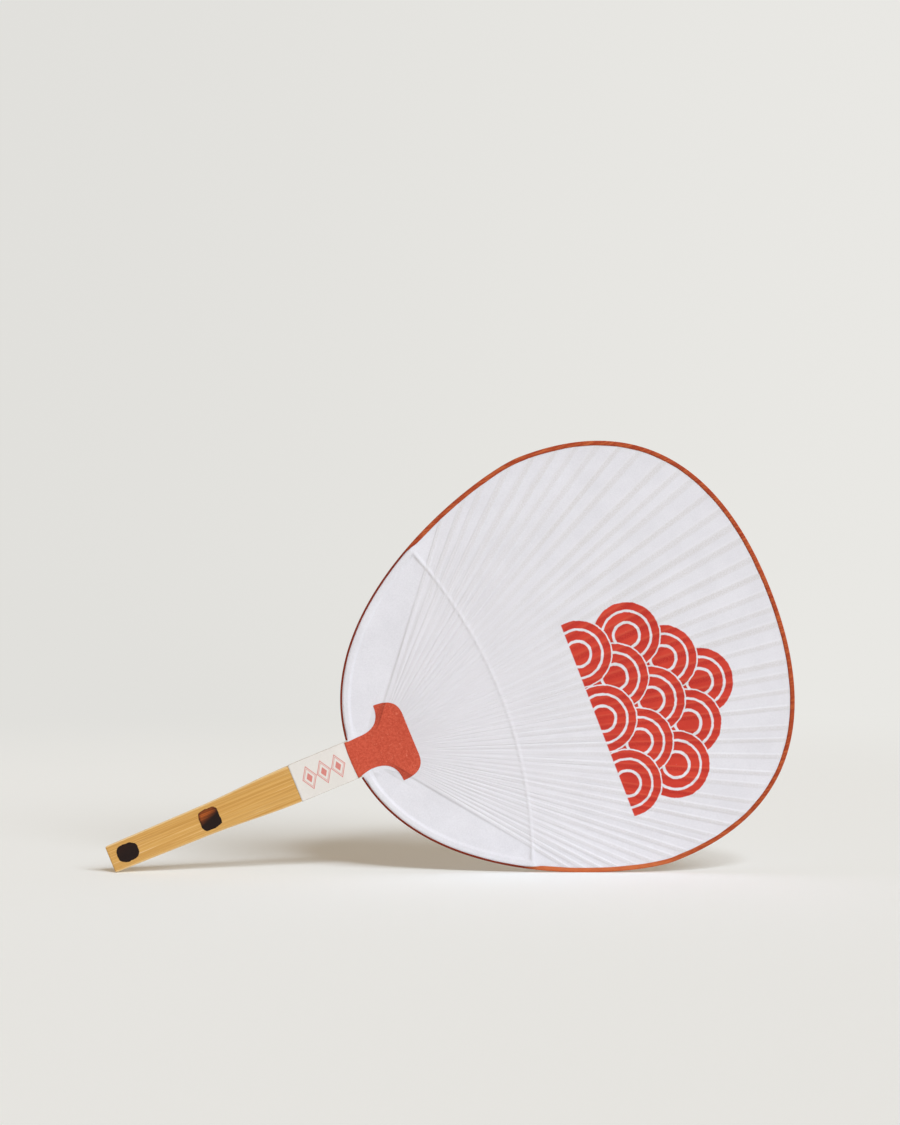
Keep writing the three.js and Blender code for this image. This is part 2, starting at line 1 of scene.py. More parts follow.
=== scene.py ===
"""Dresses a rigid bamboo hand fan: papers over woven ribs, a bound rim, neck patches, a band and a handle."""

import logging
import math
import random
from dataclasses import dataclass, field
from enum import Enum
from functools import cached_property, reduce
from typing import Callable, NamedTuple, Sequence

import bmesh
import bpy
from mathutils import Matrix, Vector, noise
from mathutils.bvhtree import BVHTree


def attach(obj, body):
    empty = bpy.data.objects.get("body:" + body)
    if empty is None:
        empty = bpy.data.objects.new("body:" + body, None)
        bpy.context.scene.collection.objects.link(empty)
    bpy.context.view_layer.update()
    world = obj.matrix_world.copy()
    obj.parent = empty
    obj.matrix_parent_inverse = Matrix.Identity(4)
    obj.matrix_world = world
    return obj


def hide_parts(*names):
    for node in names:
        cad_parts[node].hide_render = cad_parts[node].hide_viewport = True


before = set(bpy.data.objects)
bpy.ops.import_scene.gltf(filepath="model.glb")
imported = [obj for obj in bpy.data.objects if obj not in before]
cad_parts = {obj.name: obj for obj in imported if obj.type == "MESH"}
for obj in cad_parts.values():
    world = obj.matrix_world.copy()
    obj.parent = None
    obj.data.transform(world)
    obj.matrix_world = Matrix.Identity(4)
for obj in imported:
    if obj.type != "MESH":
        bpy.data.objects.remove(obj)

LOG = logging.getLogger("hand_fan")
MM = 0.001
TINY = 1e-9

Colour = tuple[float, float, float, float]
Triple = tuple[float, float, float]


class Side(Enum):
    """The fan's two faces, by the way each looks along y."""

    FRONT = -1
    BACK = 1

    @property
    def word(self) -> str:
        """The side's name in the names of pieces."""
        return self.name.lower()


def lerp(start: float, end: float, share: float) -> float:
    """The value a share of the way from start to end."""
    return start + (end - start) * share


def ease(value: float, low: float, high: float) -> float:
    """A smooth step from 0 at low to 1 at high."""
    share = min(max((value - low) / (high - low), 0.0), 1.0)
    return share * share * (3 - 2 * share)


def tone(red: float, green: float, blue: float) -> Colour:
    """The linear colour that shows as these screen values from 0 to 255.

    Args:
        red: its red.
        green: its green.
        blue: its blue.

    Returns:
        The colour, with full cover.
    """
    def linear(value: float) -> float:
        """One screen value from 0 to 255 as light from 0 to 1."""
        value /= 255
        return value / 12.92 if value <= 0.04045 else ((value + 0.055) / 1.055) ** 2.4

    return linear(red), linear(green), linear(blue), 1.0


def bezier(pulls: Sequence[tuple[float, float]], steps: int = 120) -> list[Vector]:
    """Points on the curve that a row of pulling points draws.

    Args:
        pulls: the curve's two ends with its pulling points between them.
        steps: how many chords the curve is cut into.

    Returns:
        One point more than there are steps.
    """
    line = []
    for step in range(steps + 1):
        row = [Vector(pull) for pull in pulls]
        while len(row) > 1:
            row = [first.lerp(second, step / steps) for first, second in zip(row, row[1:])]
        line.append(row[0])
    return line


def evenly(line: Sequence[Vector], count: int) -> list[Vector]:
    """Points at even distances along a line.

    Args:
        line: the line's corners in order.
        count: how many equal lengths to cut it into.

    Returns:
        One point more than the count, both ends included.
    """
    reach = [0.0]
    for first, second in zip(line, line[1:]):
        reach.append(reach[-1] + (second - first).length)
    points, at = [], 0
    for step in range(count + 1):
        goal = reach[-1] * step / count
        while at < len(line) - 2 and reach[at + 1] < goal:
            at += 1
        share = (goal - reach[at]) / max(reach[at + 1] - reach[at], TINY)
        points.append(line[at].lerp(line[at + 1], min(share, 1.0)))
    return points


def crossing(line: Sequence[Vector], start: Vector, heading: Vector) -> float:
    """How far a ray runs before it first meets a line.

    Args:
        line: the line's corners in order.
        start: where the ray starts.
        heading: the way it runs.

    Returns:
        The distance, or infinity where they never meet.
    """
    slack = 1e-6
    nearest = math.inf
    for first, second in zip(line, line[1:]):
        run, away = second - first, first - start
        turn = heading.cross(run)
        if abs(turn) < TINY:
            continue
        along, share = away.cross(run) / turn, away.cross(heading) / turn
        if -slack <= share <= 1 + slack and slack < along < nearest:
            nearest = along
    return nearest


@dataclass(frozen=True)
class Signal:
    """One value in a node tree, which can be reckoned with like a number."""

    bench: "NodeBench"
    socket: bpy.types.NodeSocket

    def __add__(self, other: "Value") -> "Signal":
        """The sum."""
        return self.bench.math("ADD", self, other)

    def __sub__(self, other: "Value") -> "Signal":
        """The difference."""
        return self.bench.math("SUBTRACT", self, other)

    def __rsub__(self, other: float) -> "Signal":
        """The difference from a plain number."""
        return self.bench.math("SUBTRACT", other, self)

    def __mul__(self, other: "Value") -> "Signal":
        """The product."""
        return self.bench.math("MULTIPLY", self, other)

    def __truediv__(self, other: "Value") -> "Signal":
        """The quotient."""
        return self.bench.math("DIVIDE", self, other)

    def __pow__(self, other: "Value") -> "Signal":
        """The power."""
        return self.bench.math("POWER", self, other)

    def __abs__(self) -> "Signal":
        """The size without its sign."""
        return self.bench.math("ABSOLUTE", self)

    __rmul__ = __mul__

    def step(self, low: float, high: float) -> "Signal":
        """A smooth step from 0 at low to 1 at high."""
        limits = {"Value": self, "From Min": low, "From Max": high}
        return self.bench.out("ShaderNodeMapRange", limits, interpolation_type="SMOOTHSTEP")

    def past(self, place: float, edge: tuple[float, float]) -> "Signal":
        """A smooth step near a place, by how far from it the step starts and ends."""
        return self.step(place + edge[0], place + edge[1])

    def line(self, low: float, high: float, soft: float) -> "Signal":
        """1 between low and high and 0 beyond them, with soft edges."""
        return self.step(low - soft, low + soft) * self.step(high + soft, high - soft)


Value = Signal | float
Tint = Signal | Colour


class Grain(NamedTuple):
    """A noise cut to a mask: its scale, detail and roughness, and where the mask starts and is full."""

    scale: float
    detail: float
    rough: float
    low: float
    high: float


@dataclass
class NodeBench:
    """Adds shader nodes to one tree and links them from plain arguments."""

    tree: bpy.types.NodeTree
    made: bpy.types.Material | None = None

    @classmethod
    def material(cls, name: str) -> "NodeBench":
        """A bench on a new, empty material.

        Args:
            name: the material's name.

        Returns:
            The bench.
        """
        made = bpy.data.materials.new(name)
        made.use_nodes = True
        made.node_tree.nodes.clear()
        return cls(made.node_tree, made)

    def add(self, kind: str, inputs: dict | None = None, **settings: object) -> tuple[Signal, ...]:
        """One node with its settings, its plain values and its links.

        Args:
            kind: Blender's name for the node.
            inputs: a value or another node's signal for each input.
            settings: the node's own properties.

        Returns:
            The new node's outputs.
        """
        node = self.tree.nodes.new(kind)
        for name, value in settings.items():
            setattr(node, name, value)
        for key, value in (inputs or {}).items():
            if isinstance(value, Signal):
                self.tree.links.new(value.socket, node.inputs[key])
            else:
                node.inputs[key].default_value = value
        return tuple(Signal(self, socket) for socket in node.outputs)

    def out(self, kind: str, inputs: dict | None = None, output: int = 0, **settings: object) -> Signal:
        """One node as add makes it, and one of its outputs."""
        return self.add(kind, inputs, **settings)[output]

    def math(self, operation: str, first: Value, second: Value = 0.0) -> Signal:
        """One reckoning with one value or two."""
        return self.out("ShaderNodeMath", {0: first, 1: second}, operation=operation)

    def most(self, *values: Value) -> Value:
        """The greatest of some values."""
        return reduce(lambda first, second: self.math("MAXIMUM", first, second), values)

    def length(self, first: Signal, second: Signal) -> Signal:
        """How far a place lies from the middle, by its two parts."""
        return self.math("SQRT", first * first + second * second)

    def mix(self, share: Value, first: Tint, second: Tint) -> Signal:
        """The colour a share of the way from first to second."""
        return self.out("ShaderNodeMix", {0: share, 6: first, 7: second}, 2, data_type="RGBA")

    def mapped(self, vector: Signal, scale: Triple = (1.0, 1.0, 1.0), turn: float = 0.0,
               shift: Triple = (0.0, 0.0, 0.0)) -> Signal:
        """The vector scaled on each axis, turned about y and shifted."""
        placed = {"Vector": vector, "Scale": scale, "Rotation": (0.0, turn, 0.0), "Location": shift}
        return self.out("ShaderNodeMapping", placed)

    def noise(self, vector: Signal, scale: float, detail: float = 3.0, rough: float = 0.55) -> Signal:
        """A noise value at the vector."""
        return self.out("ShaderNodeTexNoise",
                        {"Vector": vector, "Scale": scale, "Detail": detail, "Roughness": rough})

    def grain(self, vector: Signal, kind: Grain) -> Signal:
        """The mask of a grain at the vector."""
        return self.noise(vector, kind.scale, kind.detail, kind.rough).step(kind.low, kind.high)

    def place(self) -> Signal:
        """The shading place in the piece's own coordinates."""
        return self.out("ShaderNodeTexCoord", output=3)

    def frame_vector(self, place: Vector, turn: float) -> Signal:
        """The place in millimetres in a frame that sits at a place and is turned about y."""
        placed = {"Vector": self.place(), "Location": place, "Rotation": (0.0, -turn, 0.0),
                  "Scale": (MM, MM, MM)}
        return self.out("ShaderNodeMapping", placed, vector_type="TEXTURE")

    def axes(self, vector: Signal) -> tuple[Signal, ...]:
        """The three parts of a vector."""
        return self.add("ShaderNodeSeparateXYZ", {0: vector})

    def attribute(self, name: str) -> Signal:
        """A value that the mesh holds at each vertex."""
        return self.out("ShaderNodeAttribute", output=2, attribute_name=name)

    def group(self, group: bpy.types.NodeTree, vector: Signal) -> tuple[Signal, ...]:
        """The values of a shared node group at the vector."""
        return self.add("ShaderNodeGroup", {0: vector}, node_tree=group)

    def surface(self, colour: Signal, roughness: Value, height: Signal, depth: float,
                shine: float = 0.5) -> bpy.types.Material:
        """Ends a material in one plain surface with a fine relief.

        Args:
            colour: the colour at each place.
            roughness: how dull it is.
            height: the fine relief, from 0 to 1.
            depth: how far the relief stands, in millimetres.
            shine: how strongly it mirrors.

        Returns:
            The finished material.
        """
        bump = self.out("ShaderNodeBump", {"Height": height, "Distance": depth * MM, "Strength": 1.0})
        coat = {"Base Color": colour, "Roughness": roughness, "Normal": bump, "Specular IOR Level": shine}
        self.add("ShaderNodeOutputMaterial", {"Surface": self.out("ShaderNodeBsdfPrincipled", coat)})
        return self.made


def shared_group(name: str, outputs: Sequence[str],
                 draw: Callable[[NodeBench, Signal], Sequence[Signal]]) -> bpy.types.NodeTree:
    """A node group from a vector to plain values.

    Args:
        name: the group's name.
        outputs: a name for each value.
        draw: adds the nodes and gives back the values in order.

    Returns:
        The group, for use in any material.
    """
    tree = bpy.data.node_groups.new(name, "ShaderNodeTree")
    tree.interface.new_socket(name="Vector", in_out="INPUT", socket_type="NodeSocketVector")
    for output in outputs:
        tree.interface.new_socket(name=output, in_out="OUTPUT", socket_type="NodeSocketFloat")
    bench = NodeBench(tree)
    bench.add("NodeGroupOutput", dict(enumerate(draw(bench, bench.out("NodeGroupInput")))))
    return tree


@dataclass(frozen=True)
class FacePlan:
    """The fan's plan in its own plane, in millimetres: x from the neck line to the crown and z across."""

    length: float = 234.5
    width: float = 225.0
    widest_at: float = 137.5
    neck_pull: float = 78.5
    side_pull: float = 25.0
    shoulder_pull: float = 83.0
    crown_pull: float = 47.0
    bow_inset: float = 3.7
    bow_end_at: float = 68.0
    thread_at: float = 84.0
    paper_inset: float = 0.5
    grip_length: float = 136.0
    butt_width: float = 14.4
    grip_width: float = 15.7
    neck_width: float = 20.0
    flare_from: float = 87.0
    flare_to: float = 32.0
    handle_thick: float = 5.4
    comb_thick: float = 1.9
    wedge_from: float = 6.0
    comb_at: float = 12.0
    neck_offset: float = 3.0
    skew: float = math.radians(1.3)
    rim_steps: int = 240
    thread_steps: int = 64

    @cached_property
    def upper_half(self) -> list[Vector]:
        """The rim from the neck over the upper side to the crown.

        Returns:
            Its points at even distances.
        """
        half = self.width / 2
        widest = (self.widest_at, half)
        side = bezier([(0, 0), (0, self.neck_pull), (self.widest_at - self.side_pull, half), widest])
        shoulder = bezier([widest, (self.widest_at + self.shoulder_pull, half),
                           (self.length, self.crown_pull), (self.length, 0)])
        return evenly(side + shoulder[1:], self.rim_steps)

    @cached_property
    def rim(self) -> list[Vector]:
        """The whole rim, from the neck over the upper side and the crown back to the neck."""
        return self.upper_half + [Vector((point.x, -point.y)) for point in reversed(self.upper_half[:-1])]

    def inward(self, line: Sequence[Vector], at: int) -> Vector:
        """The direction into the leaf at a point of a line that follows the rim."""
        along = line[min(at + 1, len(line) - 1)] - line[max(at - 1, 0)]
        return Vector((along.y, -along.x)).normalized()

    def inset(self, amount: float) -> list[Vector]:
        """The rim drawn in by an amount."""
        return [point + self.inward(self.rim, at) * amount for at, point in enumerate(self.rim)]

    @cached_property
    def paper_edge(self) -> list[Vector]:
        """The cut edge of both papers."""
        return self.inset(self.paper_inset)

    def bow_line(self, way: int) -> list[Vector]:
        """The bow from its end back to the neck on one side.

        Args:
            way: 1 for the upper side and -1 for the lower.

        Returns:
            Its points in the plan.
        """
        line = []
        for point in self.inset(self.bow_inset)[:len(self.upper_half)]:
            if point.x > self.bow_end_at:
                last = line[-1]
                line.append(last.lerp(point, (self.bow_end_at - last.x) / (point.x - last.x)))
                break
            line.append(point)
        return [Vector((point.x, way * point.y)) for point in reversed(line)]

    @cached_property
    def thread(self) -> list[Vector]:
        """The weaving thread's line from the lower bow end to the upper one.

        Returns:
            Its points in the plan.
        """
        reach = self.bow_line(1)[0].y
        shares = [2 * step / self.thread_steps - 1 for step in range(self.thread_steps + 1)]
        return [Vector((lerp(self.thread_at, self.bow_end_at, share * share), share * reach))
                for share in shares]

    def from_handle(self, along: float, across: float) -> Vector:
        """A place given along and across the handle, in the plan."""
        cosine, sine = math.cos(self.skew), math.sin(self.skew)
        return Vector((along * cosine - across * sine, along * sine + across * cosine - self.neck_offset))

    def to_handle(self, point: Vector) -> Vector:
        """A place in the plan, along and across the handle.

        Args:
            point: the place in the plan.

        Returns:
            How far along and across the handle it lies.
        """
        cosine, sine = math.cos(self.skew), math.sin(self.skew)
        across = point.y + self.neck_offset
        return Vector((point.x * cosine + across * sine, across * cosine - point.x * sine))

    def handle_half_thick(self, along: float) -> float:
        """Half the handle's thickness, which runs down to the comb at the neck."""
        share = min(max((along + self.wedge_from) / (self.comb_at + self.wedge_from), 0.0), 1.0)
        return lerp(self.handle_thick, self.comb_thick, share) / 2

    @cached_property
    def butt(self) -> list[Vector]:
        """The two corners of the handle's end, the lower one first."""
        return [self.from_handle(-self.grip_length, way * self.butt_width / 2) for way in (-1, 1)]

    @cached_property
    def stand_angle(self) -> float:
        """How far the fan leans up when it stands on its butt and its rim."""
        foot = self.butt[0]
        return -min(math.atan2(point.y - foot.y, point.x - foot.x) for point in self.rim)

    def turned(self, point: Vector) -> Vector:
        """A place in the plan, turned by the lean."""
        cosine, sine = math.cos(self.stand_angle), math.sin(self.stand_angle)
        return Vector((point.x * cosine - point.y * sine, point.x * sine + point.y * cosine))

    @cached_property
    def stand_shift(self) -> Vector:
        """What centres the leaning fan and sets it on the floor.

        Returns:
            The shift along the floor and up.
        """
        spread = [self.turned(point) for point in self.rim + self.butt]
        low, high = min(point.x for point in spread), max(point.x for point in spread)
        return Vector((-(low + high) / 2, -min(point.y for point in spread)))

    def world(self, point: Vector, y: float) -> Vector:
        """A place in the plan at a height off the middle plane, in metres in the scene."""
        placed = self.turned(point) + self.stand_shift
        return Vector((placed.x, y, placed.y)) * MM

    def face_vector(self, bench: NodeBench) -> Signal:
        """A shading place in the plan's own millimetres."""
        return bench.frame_vector(self.world(Vector((0, 0)), 0), self.stand_angle)

    def handle_vector(self, bench: NodeBench) -> Signal:
        """A shading place along and across the handle, in millimetres."""
        return bench.frame_vector(self.world(self.from_handle(0, 0), 0), self.stand_angle + self.skew)


@dataclass(frozen=True)
class RibFan:
    """The split ribs: where each one runs and how it turns from on edge at the comb to flat on the leaf."""

    plan: FacePlan
    count: int = 45
    spread: float = math.radians(52)
    crowding: float = -0.12
    depth: float = 1.9
    thick: float = 0.4
    tilt: float = math.radians(12)
    slit: float = 0.1
    comb_margin: float = 0.6
    hub_at: float = 11.0
    hub_offset: float = 2.0
    bend_end: float = 26.0
    twist_from: float = 20.0

    @property
    def hub(self) -> Vector:
        """The point that all ribs seem to come from."""
        return Vector((self.hub_at, -self.hub_offset))

    @property
    def comb_pitch(self) -> float:
        """The room that one rib has in the comb."""
        return (self.plan.neck_width - 2 * self.comb_margin) / self.count

    def angle(self, number: float) -> float:
        """The way a rib runs, off the fan's middle line."""
        share = 2 * number / (self.count - 1) - 1
        return self.spread * (share + self.crowding * (1 - share * share))

    def room(self, number: float, gap: float, distance: float) -> float:
        """How far apart two ribs lie at a distance from the hub, by the gap between their numbers."""
        return abs(self.angle(number + gap) - self.angle(number)) * distance

    def root(self, number: float) -> Vector:
        """Where a rib leaves the comb."""
        return self.plan.from_handle(self.plan.comb_at, (number - (self.count - 1) / 2) * self.comb_pitch)

    def half_height(self, turned: float) -> float:
        """How far a rib stands off the middle plane, by how far it has turned flat.

        Args:
            turned: 0 where it stands on edge and 1 where it lies flat.

        Returns:
            The height in millimetres.
        """
        tilt = lerp(math.pi / 2, self.tilt, turned)
        thick = lerp(self.comb_pitch - self.slit, self.thick, turned)
        return (self.depth * math.sin(tilt) + thick * math.cos(tilt)) / 2

    def dress(self, bamboo: bpy.types.Material, cotton: bpy.types.Material) -> None:
        """Gives the ribs, the bow and the thread inside the papers their own materials.

        Args:
            bamboo: the material of the ribs and the bow.
            cotton: the material of the thread.
        """
        for name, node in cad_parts.items():
            if name.startswith("rib_") or name in ("bow", "weaving_thread"):
                node.data.materials.clear()
                node.data.materials.append(cotton if name == "weaving_thread" else bamboo)
        LOG.info("ribs, bow and thread dressed")


class Trace(NamedTuple):
    """One mesh line along a rib.

    It lies aside of the rib, at most a share of the room beside it. Its relief goes from near at the neck
    to far on the leaf, band says how much of the rib shows through there, crest how much painted highlight
    lies on the rib's raised edge, and fall how far it sinks to the other paper.
    """

    aside: float
    share: float
    near: float
    far: float
    band: float
    crest: float
    fall: float = 0.0


class RibLook(NamedTuple):
    """How one rib shows: its relief, its shade, and 1 where the thread passes over it on this face."""

    vigour: float = 0.6
    shade: float = 1.0
    woven: float = 0.5


class Swell(NamedTuple):
    """An amount that holds round one part of the fan of ribs and fades beside it."""

    amount: float
    middle: float
    full: float
    gone: float

    def at(self, share: float) -> float:
        """The amount at a share of the way from the lowest rib to the highest."""
        return self.amount * (1 - ease(abs(share - self.middle), self.full, self.gone))


class Stitch(NamedTuple):
    """One point of a paper: its place in the plan, its height off the middle plane, what shows through, and
    how much painted highlight its crest takes.
    """

    point: Vector
    height: float
    band: float = 0.0
    crest: float = 0.0

    def blended(self, other: "Stitch", share: float) -> "Stitch":
        """The stitch a share of the way to another."""
        return Stitch(self.point.lerp(other.point, share), lerp(self.height, other.height, share),
                      lerp(self.band, other.band, share), lerp(self.crest, other.crest, share))


def finished(name: str, mesh: bmesh.types.BMesh, thickness: float = 0.0,
             offset: float = -1) -> bpy.types.Object:
    """Puts a built mesh into the scene as one smooth piece and frees it.

    Args:
        name: the piece's name.
        mesh: its mesh, in metres in the scene.
        thickness: an open sheet's thickness in millimetres, or 0.
        offset: -1 to grow the thickness inward from the modelled surface, 1 to grow it outward.

    Returns:
        The piece.
    """
    for face in mesh.faces:
        face.smooth = True
    data = bpy.data.meshes.new(name)
    mesh.to_mesh(data)
    mesh.free()
    piece = bpy.data.objects.new(name, data)
    bpy.context.scene.collection.objects.link(piece)
    if thickness:
        shell = piece.modifiers.new("thickness", "SOLIDIFY")
        shell.thickness = thickness * MM
        shell.offset = offset
    LOG.info("%s built", name.replace("_", " "))
    return piece


def strand_grid(strands: Sequence[Sequence[Vector]],
                layers: Sequence[str] = ()) -> tuple[bmesh.types.BMesh, list[list[bmesh.types.BMVert]]]:
    """A grid mesh whose columns follow the given strands.

    Args:
        strands: the points of each column, all of one length.
        layers: names of values that each vertex is to hold.

    Returns:
        The mesh and its vertices by column.
    """
    mesh = bmesh.new()
    for layer in layers:
        mesh.verts.layers.float.new(layer)
    rows = len(strands[0])
    bmesh.ops.create_grid(mesh, x_segments=len(strands) - 1, y_segments=rows - 1, size=1.0)
    mesh.verts.ensure_lookup_table()
    columns = [[mesh.verts[row * len(strands) + at] for row in range(rows)] for at in range(len(strands))]
    for column, strand in zip(columns, strands):
        for vert, place in zip(column, strand):
            vert.co = place
    mesh.normal_update()
    return mesh, columns


def face_outward(mesh: bmesh.types.BMesh, side: Side) -> None:
    """Turns an open sheet's faces so that they look out on its side of the fan.

    Args:
        mesh: the sheet.
        side: the face that it lies on.
    """
    lean = sum(face.normal.y * face.calc_area() for face in mesh.faces)
    if lean * side.value < 0:
        bmesh.ops.reverse_faces(mesh, faces=mesh.faces)
    mesh.normal_update()


def face_round(mesh: bmesh.types.BMesh) -> None:
    """Turns the faces of a strip that is folded round the rim or the handle so that they look out.

    Args:
        mesh: the strip.
    """
    bmesh.ops.recalc_face_normals(mesh, faces=mesh.faces)
    foremost = min(mesh.faces, key=lambda face: face.calc_center_median().y)
    if foremost.normal.y > 0:
        bmesh.ops.reverse_faces(mesh, faces=mesh.faces)


@dataclass
class PaperFace:
    """One paper, pasted over the ribs, the thread and the bow and drawn in between them."""

    side: Side
    plan: FacePlan
    ribs: RibFan
    thickness: float = 0.1
    lift: float = 0.32
    seam: float = 0.34
    ridge_feet: tuple[float, float] = (1.7, 2.0)
    ridge_height: float = 1.03
    ridge_low: float = 0.94
    unevenness: float = 0.35
    wear_length: float = 38.0
    wear_step: float = 9.7
    full_vigour: float = 0.95
    upper_quiet: float = 0.45
    quiet_ribs: tuple[float, float] = (0.8, 0.95)
    quiet_ends: tuple[float, float] = (-12.0, 6.0)
    relief_room: tuple[float, float] = (0.5, 4.2)
    rim_press: float = 0.7
    press_over: tuple[float, float] = (7.0, 2.0)
    fall_over: tuple[float, float] = (14.0, 24.0)
    band_from: float = 50.0
    band_full: float = 165.0
    band_share: float = 0.8
    bead_foot: float = 1.9
    bead_height: float = 1.26
    bead_low: float = 0.98
    knot_height: float = 1.48
    cockle: float = 0.1
    wave_length: float = 17.0
    waves_over: tuple[float, float] = (12.0, 60.0)
    drape_beside: tuple[float, float] = (0.3, 2.8)
    drape_past: float = 6.0
    flank_gap: float = 0.3
    flank_end: float = 8.2
    strays: float = 0.16
    vigours: tuple[float, float] = (0.35, 0.8)
    shades: tuple[float, float] = (0.75, 1.15)
    widths: tuple[float, float] = (0.85, 1.15)
    outer_vigour: float = 0.35
    outer_fades: tuple[float, float] = (0.6, 0.1)
    outer_narrows: float = 0.3
    seed: int = 17
    surface: BVHTree | None = field(default=None, init=False)

    TRACES = (
        Trace(-2.20, -0.47, 0.02, 0.00, 0.0, 0.0),
        Trace(-1.70, -0.41, 0.10, 0.02, 0.1, 0.0),
        Trace(-1.25, -0.33, 0.38, 0.40, 0.7, 0.0),
        Trace(-0.85, -0.24, 0.72, 0.78, 1.0, 0.0),
        Trace(-0.30, -0.10, 0.92, 0.86, 1.0, 0.0),
        Trace(0.30, 0.06, 1.00, 0.93, 1.0, 0.1),
        Trace(0.75, 0.16, 0.95, 1.00, 0.8, 0.6),
        Trace(1.02, 0.24, 0.72, 0.88, 0.4, 1.0),
        Trace(1.30, 0.32, 0.40, 0.42, 0.1, 0.8),
        Trace(1.65, 0.40, 0.12, 0.03, 0.0, 0.2),
        Trace(2.10, 0.46, 0.02, 0.00, 0.0, 0.0),
    )
    VALLEY = Trace(0.0, 0.0, 0.0, 0.0, 0.0, 0.0)
    SKIRT = Trace(2.1, math.inf, 0.0, 0.0, 0.0, 0.0, 0.8)
    OUTER_REACH, OUTER_FALL, OUTER_FALL_OVER = 0.75, 0.72, (0.6, 1.8)
    ROWS = (6, 20, 6, 6, 24, 5, 1)
    RIM_STOPS = (8.0, 0.9)
    SIDE_OVERS = (0.0, 0.0, 0.0, 1.0, 0.8, 0.45, 0.25, 0.15)
    SIDE_STEPS, BLENDS = 30, 5
    FOOT_STOP, EDGE_STOPS, RIM_FOOT_SHARE = 0.26, (0.5, 0.8), 0.75
    TIP_TURN, FLANK_TURN, LEAST_SLANT = (0.0, 0.25), (0.72, 1.0), 0.5
    KNOT_END, BEAD_RISE = (0.01, 0.07), (0.2, 1.0)
    WAVE_SLICE, WEAR_SLICE = 5.0, 2.0
    PROBE_FROM = 20.0
    CALM = Swell(0.55, 0.62, 0.04, 0.24)
    BROAD = Swell(0.45, 0.72, 0.06, 0.34)
    LAYERS = ("rib_band", "rib_crest")

    @property
    def name(self) -> str:
        """The CAD node that this paper stands for."""
        return f"paper_{self.side.word}"

    def over_handle(self, along: float) -> float:
        """The paper's height where it lies on the handle's end."""
        return self.plan.handle_half_thick(along) + self.lift

    def draped(self, point: Vector, height: float) -> float:
        """A height raised to the handle's end and to the slow waves of dried paper.

        Args:
            point: the place in the plan.
            height: the height that the ribs and the bow ask for there.

        Returns:
            The height of the paper.
        """
        comb, slow = self.plan.comb_at, point / self.wave_length
        spot = self.plan.to_handle(point)
        beside = abs(spot.y) - self.plan.neck_width / 2
        near = (1 - ease(beside, *self.drape_beside)) * (1 - ease(spot.x, comb, comb + self.drape_past))
        wave = 1 + noise.noise(Vector((slow.x, slow.y, self.WAVE_SLICE * self.side.value)))
        height += self.cockle / 2 * wave * ease(spot.x, *self.waves_over)
        return lerp(height, self.over_handle(spot.x), near)

    def rib_strand(self, number: float, trace: Trace, look: RibLook = RibLook(),
                   gap: float = 1.0) -> list[Stitch]:
        """One mesh line along a rib, from the comb to the paper's edge.

        Args:
            number: the rib's number, or half way between two for a valley.
            trace: how the line runs beside the rib.
            look: how the rib shows.
            gap: the gap to the next rib on the line's side, in rib numbers.

        Returns:
            The stitches in order.
        """
        plan, ribs = self.plan, self.ribs
        angle = ribs.angle(number)
        heading = Vector((math.cos(angle), math.sin(angle)))
        across = Vector((-heading.y, heading.x))
        flat_at = crossing(plan.thread, ribs.hub, heading)
        ridge_top = lerp(self.ridge_low, self.ridge_height, look.woven)
        quiet = self.upper_quiet * ease(number / (ribs.count - 1), *self.quiet_ribs)

        def start(distance: float) -> Vector:
            """Where the line sets out beside the hub, by the room that it has at a distance.

            Args:
                distance: how far out along the rib the room is taken.

            Returns:
                The place in the plan.
            """
            room = ribs.room(number, math.copysign(gap, trace.aside), distance)
            away = abs(trace.aside)
            if math.isfinite(trace.share):
                away = min(away, abs(trace.share) * room)
            return ribs.hub + across * math.copysign(away, trace.aside)

        ridge = crossing(plan.thread, start(flat_at), heading)
        edge = crossing(plan.paper_edge, start(crossing(plan.paper_edge, ribs.hub, heading)), heading)
        band_full = min(self.band_full, lerp(ridge, edge, self.band_share))
        pressed = [edge - short for short in self.press_over]
        quieted = [ridge + end for end in self.quiet_ends]

        def stitch(distance: float) -> Stitch:
            """The paper's point on the line at a distance.

            Args:
                distance: how far out along the rib it lies.

            Returns:
                The stitch.
            """
            point = start(distance) + heading * distance
            turned = ease(distance, ribs.twist_from, flat_at)
            crest = ribs.half_height(turned) + self.lift
            spot = (distance / self.wear_length, self.wear_step * number, self.WEAR_SLICE * self.side.value)
            wear = 1 + self.unevenness * noise.noise(Vector(spot))
            depth = (crest - self.seam) * ease(ribs.room(number, 1.0, distance), *self.relief_room)
            depth *= min(look.vigour * wear, self.full_vigour)
            depth *= 1 - self.rim_press * ease(distance, *pressed)
            depth *= 1 - quiet * (1 - ease(distance, *quieted))
            height = crest - depth * (1 - lerp(trace.near, trace.far, turned))
            height = lerp(height, self.seam, trace.fall * ease(distance, *self.fall_over))
            height = self.draped(point, height)
            over = ease(1 - abs(distance - ridge) / self.ridge_feet[distance > ridge], 0, 1)
            height += max(ridge_top - height, 0.0) * over
            shown = ease(distance, self.band_from, band_full)
            # the crest value marks where the paper takes a painted highlight along the rib's raised edge
            return Stitch(point, height, trace.band * shown * look.shade, trace.crest * shown)

        stops = [ribs.bend_end, ridge - self.ridge_feet[0], ridge, ridge + self.ridge_feet[1],
                 *(edge - short for short in self.RIM_STOPS), edge]
        first = stitch(stops[0])
        root = Stitch(ribs.root(number), self.over_handle(plan.comb_at))
        line = [root.blended(first, row / self.ROWS[0]) for row in range(self.ROWS[0])]
        for low, high, rows in zip(stops, stops[1:], self.ROWS[1:]):
            line += [stitch(lerp(low, high, row / rows)) for row in range(rows)]
        return line + [stitch(edge)]

